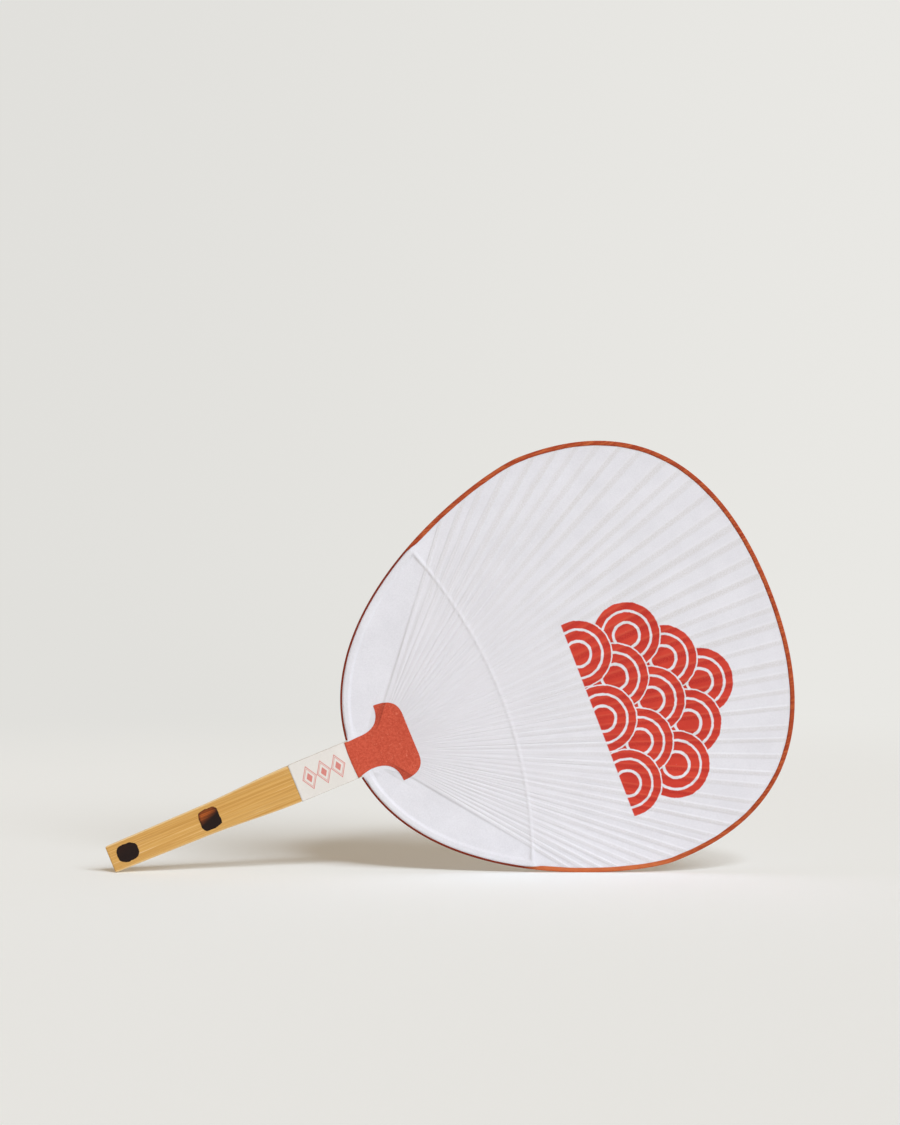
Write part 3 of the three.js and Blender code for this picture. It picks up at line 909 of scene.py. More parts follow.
    def side_strand(self, centre: Vector, inward: Vector, spread: float, bead: float,
                    root: Vector) -> list[Stitch]:
        """One mesh line from the neck's flank over the bow to the paper's edge.

        Args:
            centre: where the line crosses the bow.
            inward: the line's way from the bow into the leaf.
            spread: how much wider than the bead's foot the line cuts it.
            bead: the bead's height there.
            root: where the line leaves the handle.

        Returns:
            The stitches in order.
        """
        foot = centre + inward * self.bead_foot * spread
        edge = centre - inward * crossing(self.plan.paper_edge, centre, -inward)
        room = (edge - centre).length * self.RIM_FOOT_SHARE
        rim_foot = centre - inward * min(self.bead_foot * spread, room)
        stops = [root, root.lerp(foot, self.FOOT_STOP), foot, centre, rim_foot,
                 *(rim_foot.lerp(edge, share) for share in self.EDGE_STOPS), edge]

        def stitch(point: Vector, over: float) -> Stitch:
            """The paper's point at a place, raised by a share of the bead over the bow."""
            height = self.draped(point, self.seam)
            return Stitch(point, height + max(bead - height, 0.0) * ease(over, 0, 1))

        line = []
        for at, rows in enumerate(self.ROWS):
            low, high = self.SIDE_OVERS[at:at + 2]
            shares = [row / rows for row in range(rows)]
            line += [stitch(stops[at].lerp(stops[at + 1], share), lerp(low, high, share)) for share in shares]
        return line + [stitch(edge, self.SIDE_OVERS[-1])]

    def side_strands(self, way: int) -> list[list[Stitch]]:
        """The mesh lines from the bow's end to the handle's flank on one side.

        Args:
            way: 1 for the upper side and -1 for the lower.

        Returns:
            The lines in order from the bow's end.
        """
        plan = self.plan
        flank = plan.neck_width / 2 + self.flank_gap
        line = plan.bow_line(way)
        clear = [abs(plan.to_handle(point).y) - flank for point in line]
        last = next(at for at, room in enumerate(clear) if room < 0)
        end = line[last - 1].lerp(line[last], clear[last - 1] / (clear[last - 1] - clear[last]))
        stops = evenly(line[:last - 1] + [end], self.SIDE_STEPS)
        thread_end = plan.thread[::-way]
        tip = (thread_end[1] - thread_end[0]).normalized() + (stops[1] - stops[0]).normalized()
        tip.normalize()
        along = (plan.from_handle(1, 0) - plan.from_handle(0, 0)).normalized()
        strands = []
        for at, centre in enumerate(stops):
            share = at / (len(stops) - 1)
            run = stops[min(at + 1, len(stops) - 1)] - stops[max(at - 1, 0)]
            normal = Vector((-run.y, run.x)).normalized() * way
            lead = tip.lerp(normal, ease(share, *self.TIP_TURN))
            lead = lead.lerp(along, ease(share, *self.FLANK_TURN)).normalized()
            bead = lerp(self.knot_height, self.bead_low, ease(share, *self.KNOT_END))
            bead = lerp(bead, self.bead_height, ease(share, *self.BEAD_RISE))
            root = plan.from_handle(lerp(plan.comb_at, self.flank_end, share), way * flank)
            slant = max(lead.dot(normal), self.LEAST_SLANT)
            strands.append(self.side_strand(centre, lead, 1 / slant, bead, root))
        return strands

    def strands(self) -> list[list[Stitch]]:
        """Every mesh line of the paper, from the lower flank round to the upper one.

        Returns:
            The lines in order, all with the same number of stitches.
        """
        last = self.ribs.count - 1
        chance = random.Random(self.seed + self.side.value)
        traces = sorted((trace._replace(aside=-self.side.value * trace.aside) for trace in self.TRACES),
                        key=lambda trace: math.copysign(trace.share, trace.aside))
        numbers = [at if at in (0, last) else at + chance.uniform(-self.strays, self.strays)
                   for at in range(last + 1)]
        middle = []
        for at, number in enumerate(numbers):
            share = at / last
            outward = abs(2 * share - 1) ** 2
            fading = self.outer_fades[at > last / 2]
            vigour = chance.uniform(*self.vigours) + self.outer_vigour * outward
            vigour *= 1 - self.CALM.at(share)
            shade = chance.uniform(*self.shades) * (1 - fading * outward)
            wide = chance.uniform(*self.widths) * (1 + self.BROAD.at(share) - self.outer_narrows * outward)
            look = RibLook(vigour, shade, float((at % 2 == 0) == (self.side is Side.FRONT)))
            if at:
                middle.append(self.rib_strand((number + numbers[at - 1]) / 2, self.VALLEY, RibLook(vigour)))
            for trace in traces:
                beside = at + int(math.copysign(1, trace.aside))
                if 0 <= beside <= last:
                    gap = abs(numbers[beside] - number)
                    spread = trace._replace(aside=trace.aside * wide)
                    middle.append(self.rib_strand(number, spread, look, gap))
                else:
                    reach = trace.aside * self.OUTER_REACH
                    fall = self.OUTER_FALL * ease(abs(reach), *self.OUTER_FALL_OVER)
                    outer = trace._replace(aside=reach, share=math.inf, fall=fall)
                    middle.append(self.rib_strand(number, outer, look))
        low = self.rib_strand(0, self.SKIRT._replace(aside=-self.SKIRT.aside))
        high = self.rib_strand(last, self.SKIRT)
        lower, upper = self.side_strands(-1)[::-1], self.side_strands(1)
        return [*lower, *self.between(lower[-1], low), low, *middle,
                high, *self.between(high, upper[0]), *upper]

    def between(self, first: Sequence[Stitch], second: Sequence[Stitch]) -> list[list[Stitch]]:
        """Mesh lines blended between two others."""
        shares = [step / (self.BLENDS + 1) for step in range(1, self.BLENDS + 1)]
        return [[one.blended(other, share) for one, other in zip(first, second)] for share in shares]

    def build(self) -> bpy.types.Object:
        """Makes the paper and keeps its surface for the strips that are pasted over it.

        Returns:
            The paper.
        """
        strands = self.strands()
        places = [[self.plan.world(stitch.point, self.side.value * stitch.height) for stitch in strand]
                  for strand in strands]
        mesh, columns = strand_grid(places, self.LAYERS)
        band, crest = (mesh.verts.layers.float[name] for name in self.LAYERS)
        for column, strand in zip(columns, strands):
            for vert, stitch in zip(column, strand):
                vert[band], vert[crest] = stitch.band, stitch.crest
        mesh.faces.new(columns[0][::-1] + [column[0] for column in columns[1:-1]] + columns[-1])
        mesh.normal_update()
        bmesh.ops.recalc_face_normals(mesh, faces=mesh.faces)
        face_outward(mesh, self.side)
        bmesh.ops.triangulate(mesh, faces=[face for face in mesh.faces if len(face.verts) > 4])
        self.surface = BVHTree.FromBMesh(mesh)
        return finished(f"{self.side.word}_paper", mesh, self.thickness)

    def height_at(self, point: Vector) -> float | None:
        """The paper's height off the middle plane at a place.

        Args:
            point: the place in the plan.

        Returns:
            The height in millimetres, or None where there is no paper.
        """
        start = self.plan.world(point, self.side.value * self.PROBE_FROM)
        found = self.surface.ray_cast(start, Vector((0, -self.side.value, 0)))[0]
        return None if found is None else found.y / MM * self.side.value


@dataclass
class EdgeBinding:
    """The narrow strip folded over the rim of both papers."""

    plan: FacePlan
    papers: dict[Side, PaperFace]
    rim_flange: float = 2.35
    bow_flange: float = 1.0
    narrowing: float = 4.0
    waver: float = 0.07
    waver_length: float = 9.0
    waver_slice: float = 3.0
    flank_gap: float = 0.4
    thickness: float = 0.1
    paste: float = 0.04
    least_probe: float = 0.6
    bare_height: float = 0.3
    bridge: int = 2
    stations: int = 640
    FOLD = ((1.0, 1.0), (0.66, 1.0), (0.33, 1.0), (0.05, 0.85), (0.0, 0.35))

    def flange(self, point: Vector, at: int) -> float:
        """How far the strip reaches over the paper at a place, with the small wavers of a torn edge.

        Args:
            point: the place on the rim.
            at: its number along the strip.

        Returns:
            The reach in millimetres.
        """
        bow_end = self.plan.bow_end_at
        past = ease(point.x, bow_end - self.narrowing, bow_end + self.narrowing)
        waver = self.waver * noise.noise(Vector((at / self.waver_length, 0.0, self.waver_slice)))
        return lerp(self.bow_flange, self.rim_flange, past) * (1 + waver)

    def level(self, heights: Sequence[float]) -> list[float]:
        """Heights along the strip, bridged over the hollows and smoothed.

        Args:
            heights: the paper's heights.

        Returns:
            The strip's heights, one for each.
        """
        def spans(values: Sequence[float]) -> list[Sequence[float]]:
            """Each value with its neighbours on both sides."""
            return [values[max(at - self.bridge, 0):at + self.bridge + 1] for at in range(len(values))]

        tops = [max(span) for span in spans(heights)]
        return [sum(span) / len(span) for span in spans(tops)]

    def rail(self, line: Sequence[Vector], side: Side, reach: float, share: float) -> list[Vector]:
        """One line along the strip.

        Args:
            line: the rim's stations.
            side: the face that the line lies on.
            reach: how far in it lies, as a share of the flange.
            share: its height, as a share of the paper's.

        Returns:
            Its points in the scene.
        """
        points, heights = [], []
        for at, point in enumerate(line):
            inward, over = self.plan.inward(line, at), reach * self.flange(point, at)
            points.append(point + inward * over)
            probe = point + inward * max(over, self.least_probe)
            heights.append(self.papers[side].height_at(probe) or self.bare_height)
        return [self.plan.world(point, side.value * share * (height + self.paste))
                for point, height in zip(points, self.level(heights))]

    def build(self) -> bpy.types.Object:
        """Makes the strip.

        Returns:
            The strip.
        """
        plan = self.plan
        flank = plan.neck_width / 2 + self.flank_gap
        free = [point for point in plan.rim
                if abs(plan.to_handle(point).y) > flank or point.x > plan.length / 2]
        line = evenly(free, self.stations)
        rails = [self.rail(line, Side.FRONT, *fold) for fold in self.FOLD]
        rails += [self.rail(line, Side.BACK, *fold) for fold in self.FOLD[::-1]]
        mesh, _ = strand_grid(rails)
        face_round(mesh)
        return finished("rim_binding", mesh, self.thickness, offset=1)


@dataclass
class NeckPatch:
    """The horned patch pasted over the neck on one face."""

    paper: PaperFace
    neck: float = 19.8
    waist: float = 18.0
    waist_pull: float = 4.0
    waist_at: float = 8.0
    width: float = 42.0
    horn_at: float = 20.5
    top_width: float = 23.0
    length: float = 33.0
    start: float = -1.1
    bulge: float = 0.5
    bulge_rows: int = 10
    shift: float = 0.9
    thickness: float = 0.1
    paste: float = 0.05
    over_band: float = 0.14
    band_end: tuple[float, float] = (-1.0, 0.0)
    rows_each: int = 26
    columns: int = 96

    def edge(self) -> list[Vector]:
        """The patch's upper edge from the neck to its far side, along and across the handle.

        Returns:
            Its points, one for each row of the mesh.
        """
        waist, horn = self.waist / 2, self.width / 2
        parts = [
            [(self.start, self.neck / 2), (self.waist_pull, waist), (self.waist_at, waist)],
            [(self.waist_at, waist), (self.horn_at, waist), (self.horn_at, horn)],
            [(self.horn_at, horn), (self.length, horn), (self.length, self.top_width / 2)],
        ]
        line: list[Vector] = []
        for part in parts:
            line += bezier(part, self.rows_each)[bool(line):]
        return line

    def place(self, corner: Vector, row: int, across: float) -> Vector:
        """A point of the patch in the scene.

        Args:
            corner: the point of the upper edge on its row.
            row: the row's number from the neck.
            across: how far over the patch it lies, from -1 to 1.

        Returns:
            The point, laid on the paper or on the band.
        """
        plan, side = self.paper.plan, self.paper.side
        along = corner.x + self.bulge * across * across * (1 - ease(row, 0, self.bulge_rows))
        aside = self.shift * ease(corner.x, self.start, self.waist_at)
        point = plan.from_handle(along, corner.y * across + aside)
        rise = lerp(self.over_band, self.paper.lift, ease(along, *self.band_end))
        height = self.paper.height_at(point) or plan.handle_half_thick(corner.x) + rise
        return plan.world(point, side.value * (height + self.paste + self.thickness))

    def build(self) -> bpy.types.Object:
        """Makes the patch.

        Returns:
            The patch.
        """
        edge = self.edge()
        shares = [2 * column / self.columns - 1 for column in range(self.columns + 1)]
        mesh, _ = strand_grid([[self.place(corner, row, across) for row, corner in enumerate(edge)]
                               for across in shares])
        face_outward(mesh, self.paper.side)
        return finished(f"{self.paper.side.word}_neck_patch", mesh, self.thickness)


@dataclass
class PaperBand:
    """The thin paper band round the handle's neck end."""

    plan: FacePlan
    length: float = 32.0
    gap: float = 0.2
    ease_off: float = 0.06
    corner: float = 0.45
    corner_steps: int = 8
    thickness: float = 0.1
    steps: int = 40
    stations: int = 180
    weld: float = 1e-7

    def loop(self) -> list[Vector]:
        """The band's rounded section, across the handle and through it.

        Returns:
            A closed line of even steps.
        """
        wide = self.plan.neck_width / 2 + self.ease_off + self.thickness
        high = self.plan.handle_thick / 2 + self.ease_off + self.thickness
        line = []
        for x_way, y_way, start in ((1, 1, 0), (-1, 1, 90), (-1, -1, 180), (1, -1, 270)):
            centre = Vector((x_way * (wide - self.corner), y_way * (high - self.corner)))
            for step in range(self.corner_steps + 1):
                angle = math.radians(start + 90 * step / self.corner_steps)
                line.append(centre + Vector((math.cos(angle), math.sin(angle))) * self.corner)
        return evenly(line + line[:1], self.stations)

    def build(self) -> bpy.types.Object:
        """Makes the band.

        Returns:
            The band.
        """
        plan = self.plan
        shares = [step / self.steps for step in range(self.steps + 1)]
        places = [lerp(-self.gap - self.length, -self.gap, share) for share in shares]
        thins = [plan.handle_half_thick(along) / plan.handle_half_thick(-self.length) for along in places]
        strands = [[plan.world(plan.from_handle(along, across), through * thin)
                    for along, thin in zip(places, thins)] for across, through in self.loop()]
        mesh, columns = strand_grid(strands)
        bmesh.ops.remove_doubles(mesh, verts=columns[0] + columns[-1], dist=self.weld)
        face_round(mesh)
        return finished("paper_band", mesh, self.thickness)


@dataclass
class Handle:
    """The flat bamboo handle, from the butt to the comb that the ribs leave."""

    plan: FacePlan
    edge: float = 0.8
    edge_steps: int = 4
    arris_full: float = 0.25
    sharp: float = math.radians(60)
    lengths: int = 148
    widths: int = 10

    def half_width(self, along: float) -> float:
        """Half the handle's width at a place along it.

        Args:
            along: the place along the handle.

        Returns:
            Half the width in millimetres.
        """
        plan = self.plan
        if along <= -plan.flare_from:
            share = (along + plan.grip_length) / (plan.grip_length - plan.flare_from)
            return lerp(plan.butt_width, plan.grip_width, share) / 2
        return lerp(plan.grip_width, plan.neck_width, ease(along, -plan.flare_from, -plan.flare_to)) / 2

    def build(self) -> bpy.types.Object:
        """Makes the handle.

        Returns:
            The handle.
        """
        plan = self.plan
        half = plan.handle_thick / 2
        steps = [step / self.lengths for step in range(self.lengths + 1)]
        places = [lerp(-plan.grip_length, plan.comb_at, step) for step in steps]
        shares = [2 * column / self.widths - 1 for column in range(self.widths + 1)]
        mesh, _ = strand_grid([[Vector((along, -half, across * self.half_width(along))) for along in places]
                               for across in shares], ("arris",))
        grown = bmesh.ops.extrude_face_region(mesh, geom=mesh.faces[:])
        moved = [item for item in grown["geom"] if isinstance(item, bmesh.types.BMVert)]
        bmesh.ops.translate(mesh, verts=moved, vec=(0, 2 * half, 0))
        bmesh.ops.recalc_face_normals(mesh, faces=mesh.faces)
        sharp = [item for item in mesh.edges
                 if len(item.link_faces) == 2 and item.calc_face_angle() > self.sharp]
        bmesh.ops.bevel(mesh, geom=sharp, offset=self.edge, segments=self.edge_steps, profile=0.5,
                        affect="EDGES", material=-1)
        arris = mesh.verts.layers.float["arris"]
        for vert in mesh.verts:
            along, through, across = vert.co
            half_wide = self.half_width(along)
            # the arris value is 1 on the rounded long edges, where the bamboo material paints a pale
            # highlight
            vert[arris] = ease(abs(across), half_wide - self.edge, half_wide - self.edge * self.arris_full)
            thinned = through * plan.handle_half_thick(along) / half
            vert.co = plan.world(plan.from_handle(along, across), thinned)
        return finished("bamboo_handle", mesh)


class Streaks(NamedTuple):
    """A grain drawn out along the bamboo: its scale along and across it, its start and its mask."""

    along: float
    across: float
    shift: float
    grain: Grain


@dataclass(frozen=True)
class SharedGrain:
    """The node groups that more than one material draws on."""

    bamboo: bpy.types.NodeTree
    fibres: bpy.types.NodeTree
    leaf: bpy.types.NodeTree

    BAMBOO = {
        "Streak": Streaks(0.006, 0.7, 0.0, Grain(1.0, 5.0, 0.7, 0.32, 0.68)),
        "Fibre": Streaks(0.014, 2.0, 31.0, Grain(1.0, 4.0, 0.65, 0.34, 0.66)),
        "Fleck": Streaks(0.1, 3.4, 77.0, Grain(1.0, 2.0, 0.5, 0.6, 0.74)),
        "Glint": Streaks(0.012, 1.4, 53.0, Grain(1.0, 4.0, 0.65, 0.58, 0.7)),
    }
    HAIR_TURNS = ((0.5, 3.0), (1.7, 41.0), (2.6, 83.0))
    HAIR_SCALE = (0.45, 1.0, 3.2)
    HAIR = Grain(1.0, 2.0, 0.5, 0.68, 0.76)
    CLOUD = Grain(0.05, 4.0, 0.6, 0.3, 0.7)
    TOOTH = (1.5, 4.0, 0.7)
    CREASES_TURN, CREASES_ALONG, CREASES_FADE = 95.0, 0.02, (150.0, 90.0)
    CREASE = Grain(1.0, 2.0, 0.55, 0.32, 0.68)
    FAN_EDGE = (0.03, -0.02)
    MASS_FADE, MASS_PATCHES, MASS_LEAST, MASS_MORE = (150.0, 40.0), (0.12, 3.0), 0.55, 0.9
    # where the painted fold shade lies beside the outermost rib, and the fainter painted shade beyond it
    FOLD, BEYOND = ((-0.1, 0.5), (1.4, 0.7)), ((0.2, 0.9), (5.0, 1.5))
    BEYOND_SHARE, NECK_FADE = 0.5, (9.0, 17.0)

    @classmethod
    def make(cls, ribs: RibFan) -> "SharedGrain":
        """Draws the bamboo's grain, the paper's fibres and what the ribs leave in the leaf.

        Args:
            ribs: the ribs, for their hub and spread.

        Returns:
            The groups.
        """
        return cls(shared_group("bamboo grain", tuple(cls.BAMBOO), cls.draw_bamboo),
                   shared_group("paper fibres", ("Hair", "Cloud", "Tooth"), cls.draw_fibres),
                   shared_group("drawn leaf", ("Crease", "Through", "Fold"),
                                lambda bench, vector: cls.draw_leaf(bench, vector, ribs)))

    @classmethod
    def draw_bamboo(cls, bench: NodeBench, vector: Signal) -> Sequence[Signal]:
        """Long streaks, fine fibres, short flecks and pale glints along the bamboo.

        Args:
            bench: the group's bench.
            vector: the place that the group is given.

        Returns:
            The four values.
        """
        drawn = []
        for kind in cls.BAMBOO.values():
            long = bench.mapped(vector, (kind.along, kind.across, kind.across), shift=(kind.shift,) * 3)
            drawn.append(bench.grain(long, kind.grain))
        return drawn

    @classmethod
    def draw_fibres(cls, bench: NodeBench, vector: Signal) -> Sequence[Signal]:
        """Loose hairs that lie three ways, slow clouds and the paper's tooth.

        Args:
            bench: the group's bench.
            vector: the place that the group is given.

        Returns:
            The three values.
        """
        hairs = []
        for turn, shift in cls.HAIR_TURNS:
            lean = bench.mapped(bench.mapped(vector, turn=turn, shift=(shift, 0.0, shift)), cls.HAIR_SCALE)
            hairs.append(bench.grain(lean, cls.HAIR))
        return bench.most(*hairs), bench.grain(vector, cls.CLOUD), bench.noise(vector, *cls.TOOTH)

    @classmethod
    def draw_leaf(cls, bench: NodeBench, vector: Signal, ribs: RibFan) -> Sequence[Signal]:
        """Fine creases along the ribs and the fold beside the outermost ones, both darkened as painted shade
        by the materials, and the ribs' mass near the neck.

        Args:
            bench: the group's bench.
            vector: the place that the group is given.
            ribs: the ribs, for their hub and spread.

        Returns:
            The three values.
        """
        along, _, across = bench.axes(vector)
        along, across = along - ribs.hub.x, across - ribs.hub.y
        angle = bench.math("ARCTAN2", across, along)
        reach = bench.length(along, across)
        fan = abs(angle).past(ribs.spread, cls.FAN_EDGE)
        polar = bench.out("ShaderNodeCombineXYZ", {0: angle * cls.CREASES_TURN, 1: reach * cls.CREASES_ALONG})
        crease = bench.grain(polar, cls.CREASE) * reach.step(*cls.CREASES_FADE)
        patchy = bench.noise(vector, *cls.MASS_PATCHES) * cls.MASS_MORE + cls.MASS_LEAST
        through = reach.step(*cls.MASS_FADE) * patchy
        aside = (abs(angle) - ribs.spread) * reach
        fold, beyond = (aside.step(*rise) * aside.step(*fade) for rise, fade in (cls.FOLD, cls.BEYOND))
        folded = bench.most(fold, beyond * cls.BEYOND_SHARE) * reach.step(*cls.NECK_FADE)
        return crease * fan, through * fan, folded


@dataclass(frozen=True)
class WavePrint:
    """A common pile of wave scales printed in one red on the face paper."""

    centre: tuple[float, float] = (129.0, -30.0)
    radius: float = 18.0
    rows: tuple[int, ...] = (3, 2, 3, 2, 1)
    rise: float = 0.75
    rings: tuple[tuple[float, float], ...] = ((0.0, 0.32), (0.42, 0.66), (0.75, 0.95))
    ring_start: tuple[float, float] = (-0.02, 0.005)
    ring_end: tuple[float, float] = (0.0, 0.025)
    scale_edge: tuple[float, float] = (0.99, 1.01)
    waver: float = 0.05
    cut: tuple[float, float] = (-3.2, -2.6)
    WAVER = (0.35, 2.0)

    def group(self) -> bpy.types.NodeTree:
        """Draws the scales row over row and gives back where the red lies."""
        return shared_group("wave scales", ("Mask",), self.draw)

    def draw(self, bench: NodeBench, vector: Signal) -> Sequence[Signal]:
        """The red's mask at a place in the plan, the far rows first and the near ones over them.

        Args:
            bench: the group's bench.
            vector: the place that the group is given.

        Returns:
            The mask.
        """
        waver = (bench.noise(vector, *self.WAVER) - 0.5) * self.waver
        along, _, across = bench.axes(vector)
        mask: Value = 0.0
        for row, count in reversed(list(enumerate(self.rows))):
            away_x = along - (self.centre[0] + row * self.rise * self.radius)
            for at in range(count):
                away_z = across - (self.centre[1] + (2 * at - count + 1) * self.radius)
                reach = bench.length(away_x, away_z) / self.radius + waver
                rings = [reach.past(low, self.ring_start) - reach.past(high, self.ring_end)
                         for low, high in self.rings]
                inside = 1.0 - reach.step(*self.scale_edge)
                mask = mask * (1.0 - inside) + bench.most(0.0, *rings) * inside
        return [mask * along.past(self.centre[0], self.cut)]


class Dab(NamedTuple):
    """One dark dab of stain on the handle: its place, half sizes, how square it is and how thinly brushed."""

    along: float
    across: float
    half_along: float
    half_across: float
    square: float
    thin: float


@dataclass(frozen=True)
class BambooFinish:
    """Split bamboo: long streaks, fine fibres and short dark flecks, with a painted highlight along any
    rounded edges that the mesh marks.
    """

    name: str
    body: Colour
    pale: Colour
    dark: Colour
    roughness: float
    dabs: tuple[Dab, ...] = ()
    ink: Colour = tone(28, 14, 10)
    ink_brown: Colour = tone(172, 86, 32)
    ink_dulls: float = 0.25
    ragged: float = 0.34
    dab_edge: tuple[float, float] = (0.985, 1.015)
    pool_edge: tuple[float, float] = (0.72, 0.97)
    pool_share: float = 0.6
    highlight_and_streak_tone: Colour = tone(240, 216, 172)
    arris_highlight_share: float = 0.75
    glint_share: float = 0.5
    fibre_share: float = 0.6
    fleck_share: float = 0.4
    streak_dulls: float = 0.08
    front_edge: tuple[float, float] = (0.5, -0.5)
    brush_slant: float = 0.4
    brush_edge: tuple[float, float] = (-0.8, 4.2)
    brush_fibre: float = 0.6
    fibre_relief: float = 0.6
    depth: float = 0.05
    shine: float = 0.2
    RAGGED = (0.3, 4.0, 0.6)

    def dress(self, plan: FacePlan, grain: SharedGrain) -> bpy.types.Material:
        """Makes the material.

        Args:
            plan: the fan's plan, for the handle's own frame.
            grain: the shared groups.

        Returns:
            The material.
        """
        bench = NodeBench.material(self.name)
        vector = plan.handle_vector(bench)
        streak, fibre, fleck, glint = bench.group(grain.bamboo, vector)
        colour = bench.mix(streak, self.body, self.pale)
        colour = bench.mix(fibre * self.fibre_share, colour, self.dark)
        colour = bench.mix(fleck * self.fleck_share, colour, self.dark)
        # painted highlight along the rounded edges, and pale streaks along the grain
        pale = bench.most(bench.attribute("arris") * self.arris_highlight_share, glint * self.glint_share)
        colour = bench.mix(pale, colour, self.highlight_and_streak_tone)
        rough: Value = self.roughness
        if self.dabs:
            rough = streak * self.streak_dulls + self.roughness
            along, through, across = bench.axes(vector)
            front = through.step(*self.front_edge)
            ragged = (bench.noise(vector, *self.RAGGED) - 0.5) * self.ragged
            brushed = fibre * self.brush_fibre + (1 - self.brush_fibre)
            for dab in self.dabs:
                aside, above = along - dab.along, across - dab.across
                long = (abs(aside) / dab.half_along) ** dab.square
                wide = (abs(above) / dab.half_across) ** dab.square
                reach = (long + wide) ** (1 / dab.square) + ragged
                stain = (1.0 - reach.step(*self.dab_edge)) * front
                pooled = reach.step(*self.pool_edge) * self.pool_share
                corner = (above - aside * self.brush_slant).step(*self.brush_edge)
                thin = corner * brushed * (1.0 - pooled)
                colour = bench.mix(stain, colour, bench.mix(thin * dab.thin, self.ink, self.ink_brown))
                rough = rough + stain * self.ink_dulls
        relief = fibre * self.fibre_relief + streak * (1 - self.fibre_relief)
        return bench.surface(colour, rough, relief, self.depth, self.shine)


@dataclass(frozen=True)
class PaperFinish:
    """Handmade paper: clouding, loose pale hairs and a fine tooth, with what shows through or is printed, and
    where asked a painted shade along a fold or along the bow and a lighter tone towards the bottom edge.
    """

    name: str
    body: Colour
    shade: Colour
    hair: Colour
    hair_share: float = 0.35
    cloud_share: float = 0.5
    roughness: float = 0.85
    depth: float = 0.03
    shine: float = 0.2
    specks: float = 0.0
    fold: float = 0.0
    fold_shade_tone: Colour = tone(90, 20, 12)
    bow_shade_tone: Colour | None = None
    bow_fade: tuple[float, float] = (2.0, -6.0)
    foot_tone: Colour | None = None
    foot_fade: tuple[float, float] = (12 * MM, 2 * MM)
    streak_tone: Colour | None = None
    streaks: float = 0.65
    BRUSH_SCALE, BRUSH_TURN, BRUSH = (0.14, 1.0, 1.1), 0.9, Grain(1.0, 4.0, 0.6, 0.42, 0.66)
    SPECK = Grain(0.9, 4.0, 0.75, 0.4, 0.62)
    CLOUDS, TOOTH_EDGE = 0.6, (0.3, 0.8)
    SCUFFS, SCUFF_LEAST = (0.25, 3.0), 0.4

    def colour(self, bench: NodeBench, vector: Signal, fibres: Sequence[Signal]) -> Signal:
        """The bare paper's colour.

        Args:
            bench: the material's bench.
            vector: the place in the plan.
            fibres: the shared hairs, clouds and tooth at that place.

        Returns:
            The colour.
        """
        hair, cloud, tooth = fibres
        mottle = cloud * self.CLOUDS + tooth.step(*self.TOOTH_EDGE)
        colour = bench.mix(mottle * self.cloud_share, self.body, self.shade)
        if self.streak_tone:
            lean = bench.mapped(vector, self.BRUSH_SCALE, self.BRUSH_TURN)
            colour = bench.mix(bench.grain(lean, self.BRUSH) * self.streaks, colour, self.streak_tone)
        colour = bench.mix(hair * self.hair_share, colour, self.hair)
        if self.specks:
            colour = bench.mix(bench.grain(vector, self.SPECK) * self.specks, colour, self.shade)
        return colour

    def dress(self, plan: FacePlan, grain: SharedGrain) -> bpy.types.Material:
        """Makes the plain paper's material.

        Args:
            plan: the fan's plan, for its own frame.
            grain: the shared groups.

        Returns:
            The material.
        """
        bench = NodeBench.material(self.name)
        vector = plan.face_vector(bench)
        fibres = bench.group(grain.fibres, vector)
        colour = self.colour(bench, vector, fibres)
        # painted shade along the crease where the paper falls beside the outermost rib, and fainter beyond it
        if self.fold:
            folded = bench.group(grain.leaf, vector)[2]
            colour = bench.mix(folded * self.fold, colour, self.fold_shade_tone)
        # lighter, more orange tone towards the bottom edge, by height above the floor, broken up by noise
        if self.foot_tone:
            low = bench.axes(bench.place())[2].step(*self.foot_fade)
            foot_noise = bench.noise(vector, *self.SCUFFS) + self.SCUFF_LEAST
            colour = bench.mix(low * foot_noise, colour, self.foot_tone)
        # painted shade: the strip is darker along the bow, where it lies on the slope that faces away from
        # the light
        if self.bow_shade_tone:
            bow_shade = bench.axes(vector)[0].past(plan.bow_end_at, self.bow_fade)
            colour = bench.mix(bow_shade, colour, self.bow_shade_tone)
        return bench.surface(colour, self.roughness, fibres[2], self.depth, self.shine)


@dataclass(frozen=True)
class BandFinish(PaperFinish):
    """The band's paper, with a plain row of rhombs printed on its front."""

    ornament: Colour = tone(206, 78, 62)
    starts: float = -28.0
    count: int = 3
    half_length: float = 4.0
    half_width: float = 6.5
    lines: tuple[tuple[float, float], ...] = ((0.88, 1.0), (0.72, 0.79), (-1.0, 0.42))
    line_soft: float = 0.03
    end_soft: float = 0.05
    front_edge: tuple[float, float] = (0.0, -0.2)
    cover: float = 0.9
    wear: float = 0.3

    def dress(self, plan: FacePlan, grain: SharedGrain) -> bpy.types.Material:
        """Makes the band's material.

        Args:
            plan: the fan's plan, for its own frame.
            grain: the shared groups.

        Returns:
            The material.
        """
        bench = NodeBench.material(self.name)
        vector = plan.handle_vector(bench)
        fibres = bench.group(grain.fibres, vector)
        along, through, across = bench.axes(vector)
        along = along - self.starts
        away = 1.0 - bench.math("PINGPONG", along, self.half_length) / self.half_length
        reach = away + abs(across) / self.half_width
        drawn = bench.most(0.0, *(reach.line(low, high, self.line_soft) for low, high in self.lines))
        inside = along.line(0.0, 2 * self.half_length * self.count, self.end_soft)
        front = inside * through.step(*self.front_edge)
        mask = drawn * front * (self.cover - fibres[2] * self.wear)
        colour = bench.mix(mask, self.colour(bench, vector, fibres), self.ornament)
        return bench.surface(colour, self.roughness, fibres[2], self.depth, self.shine)


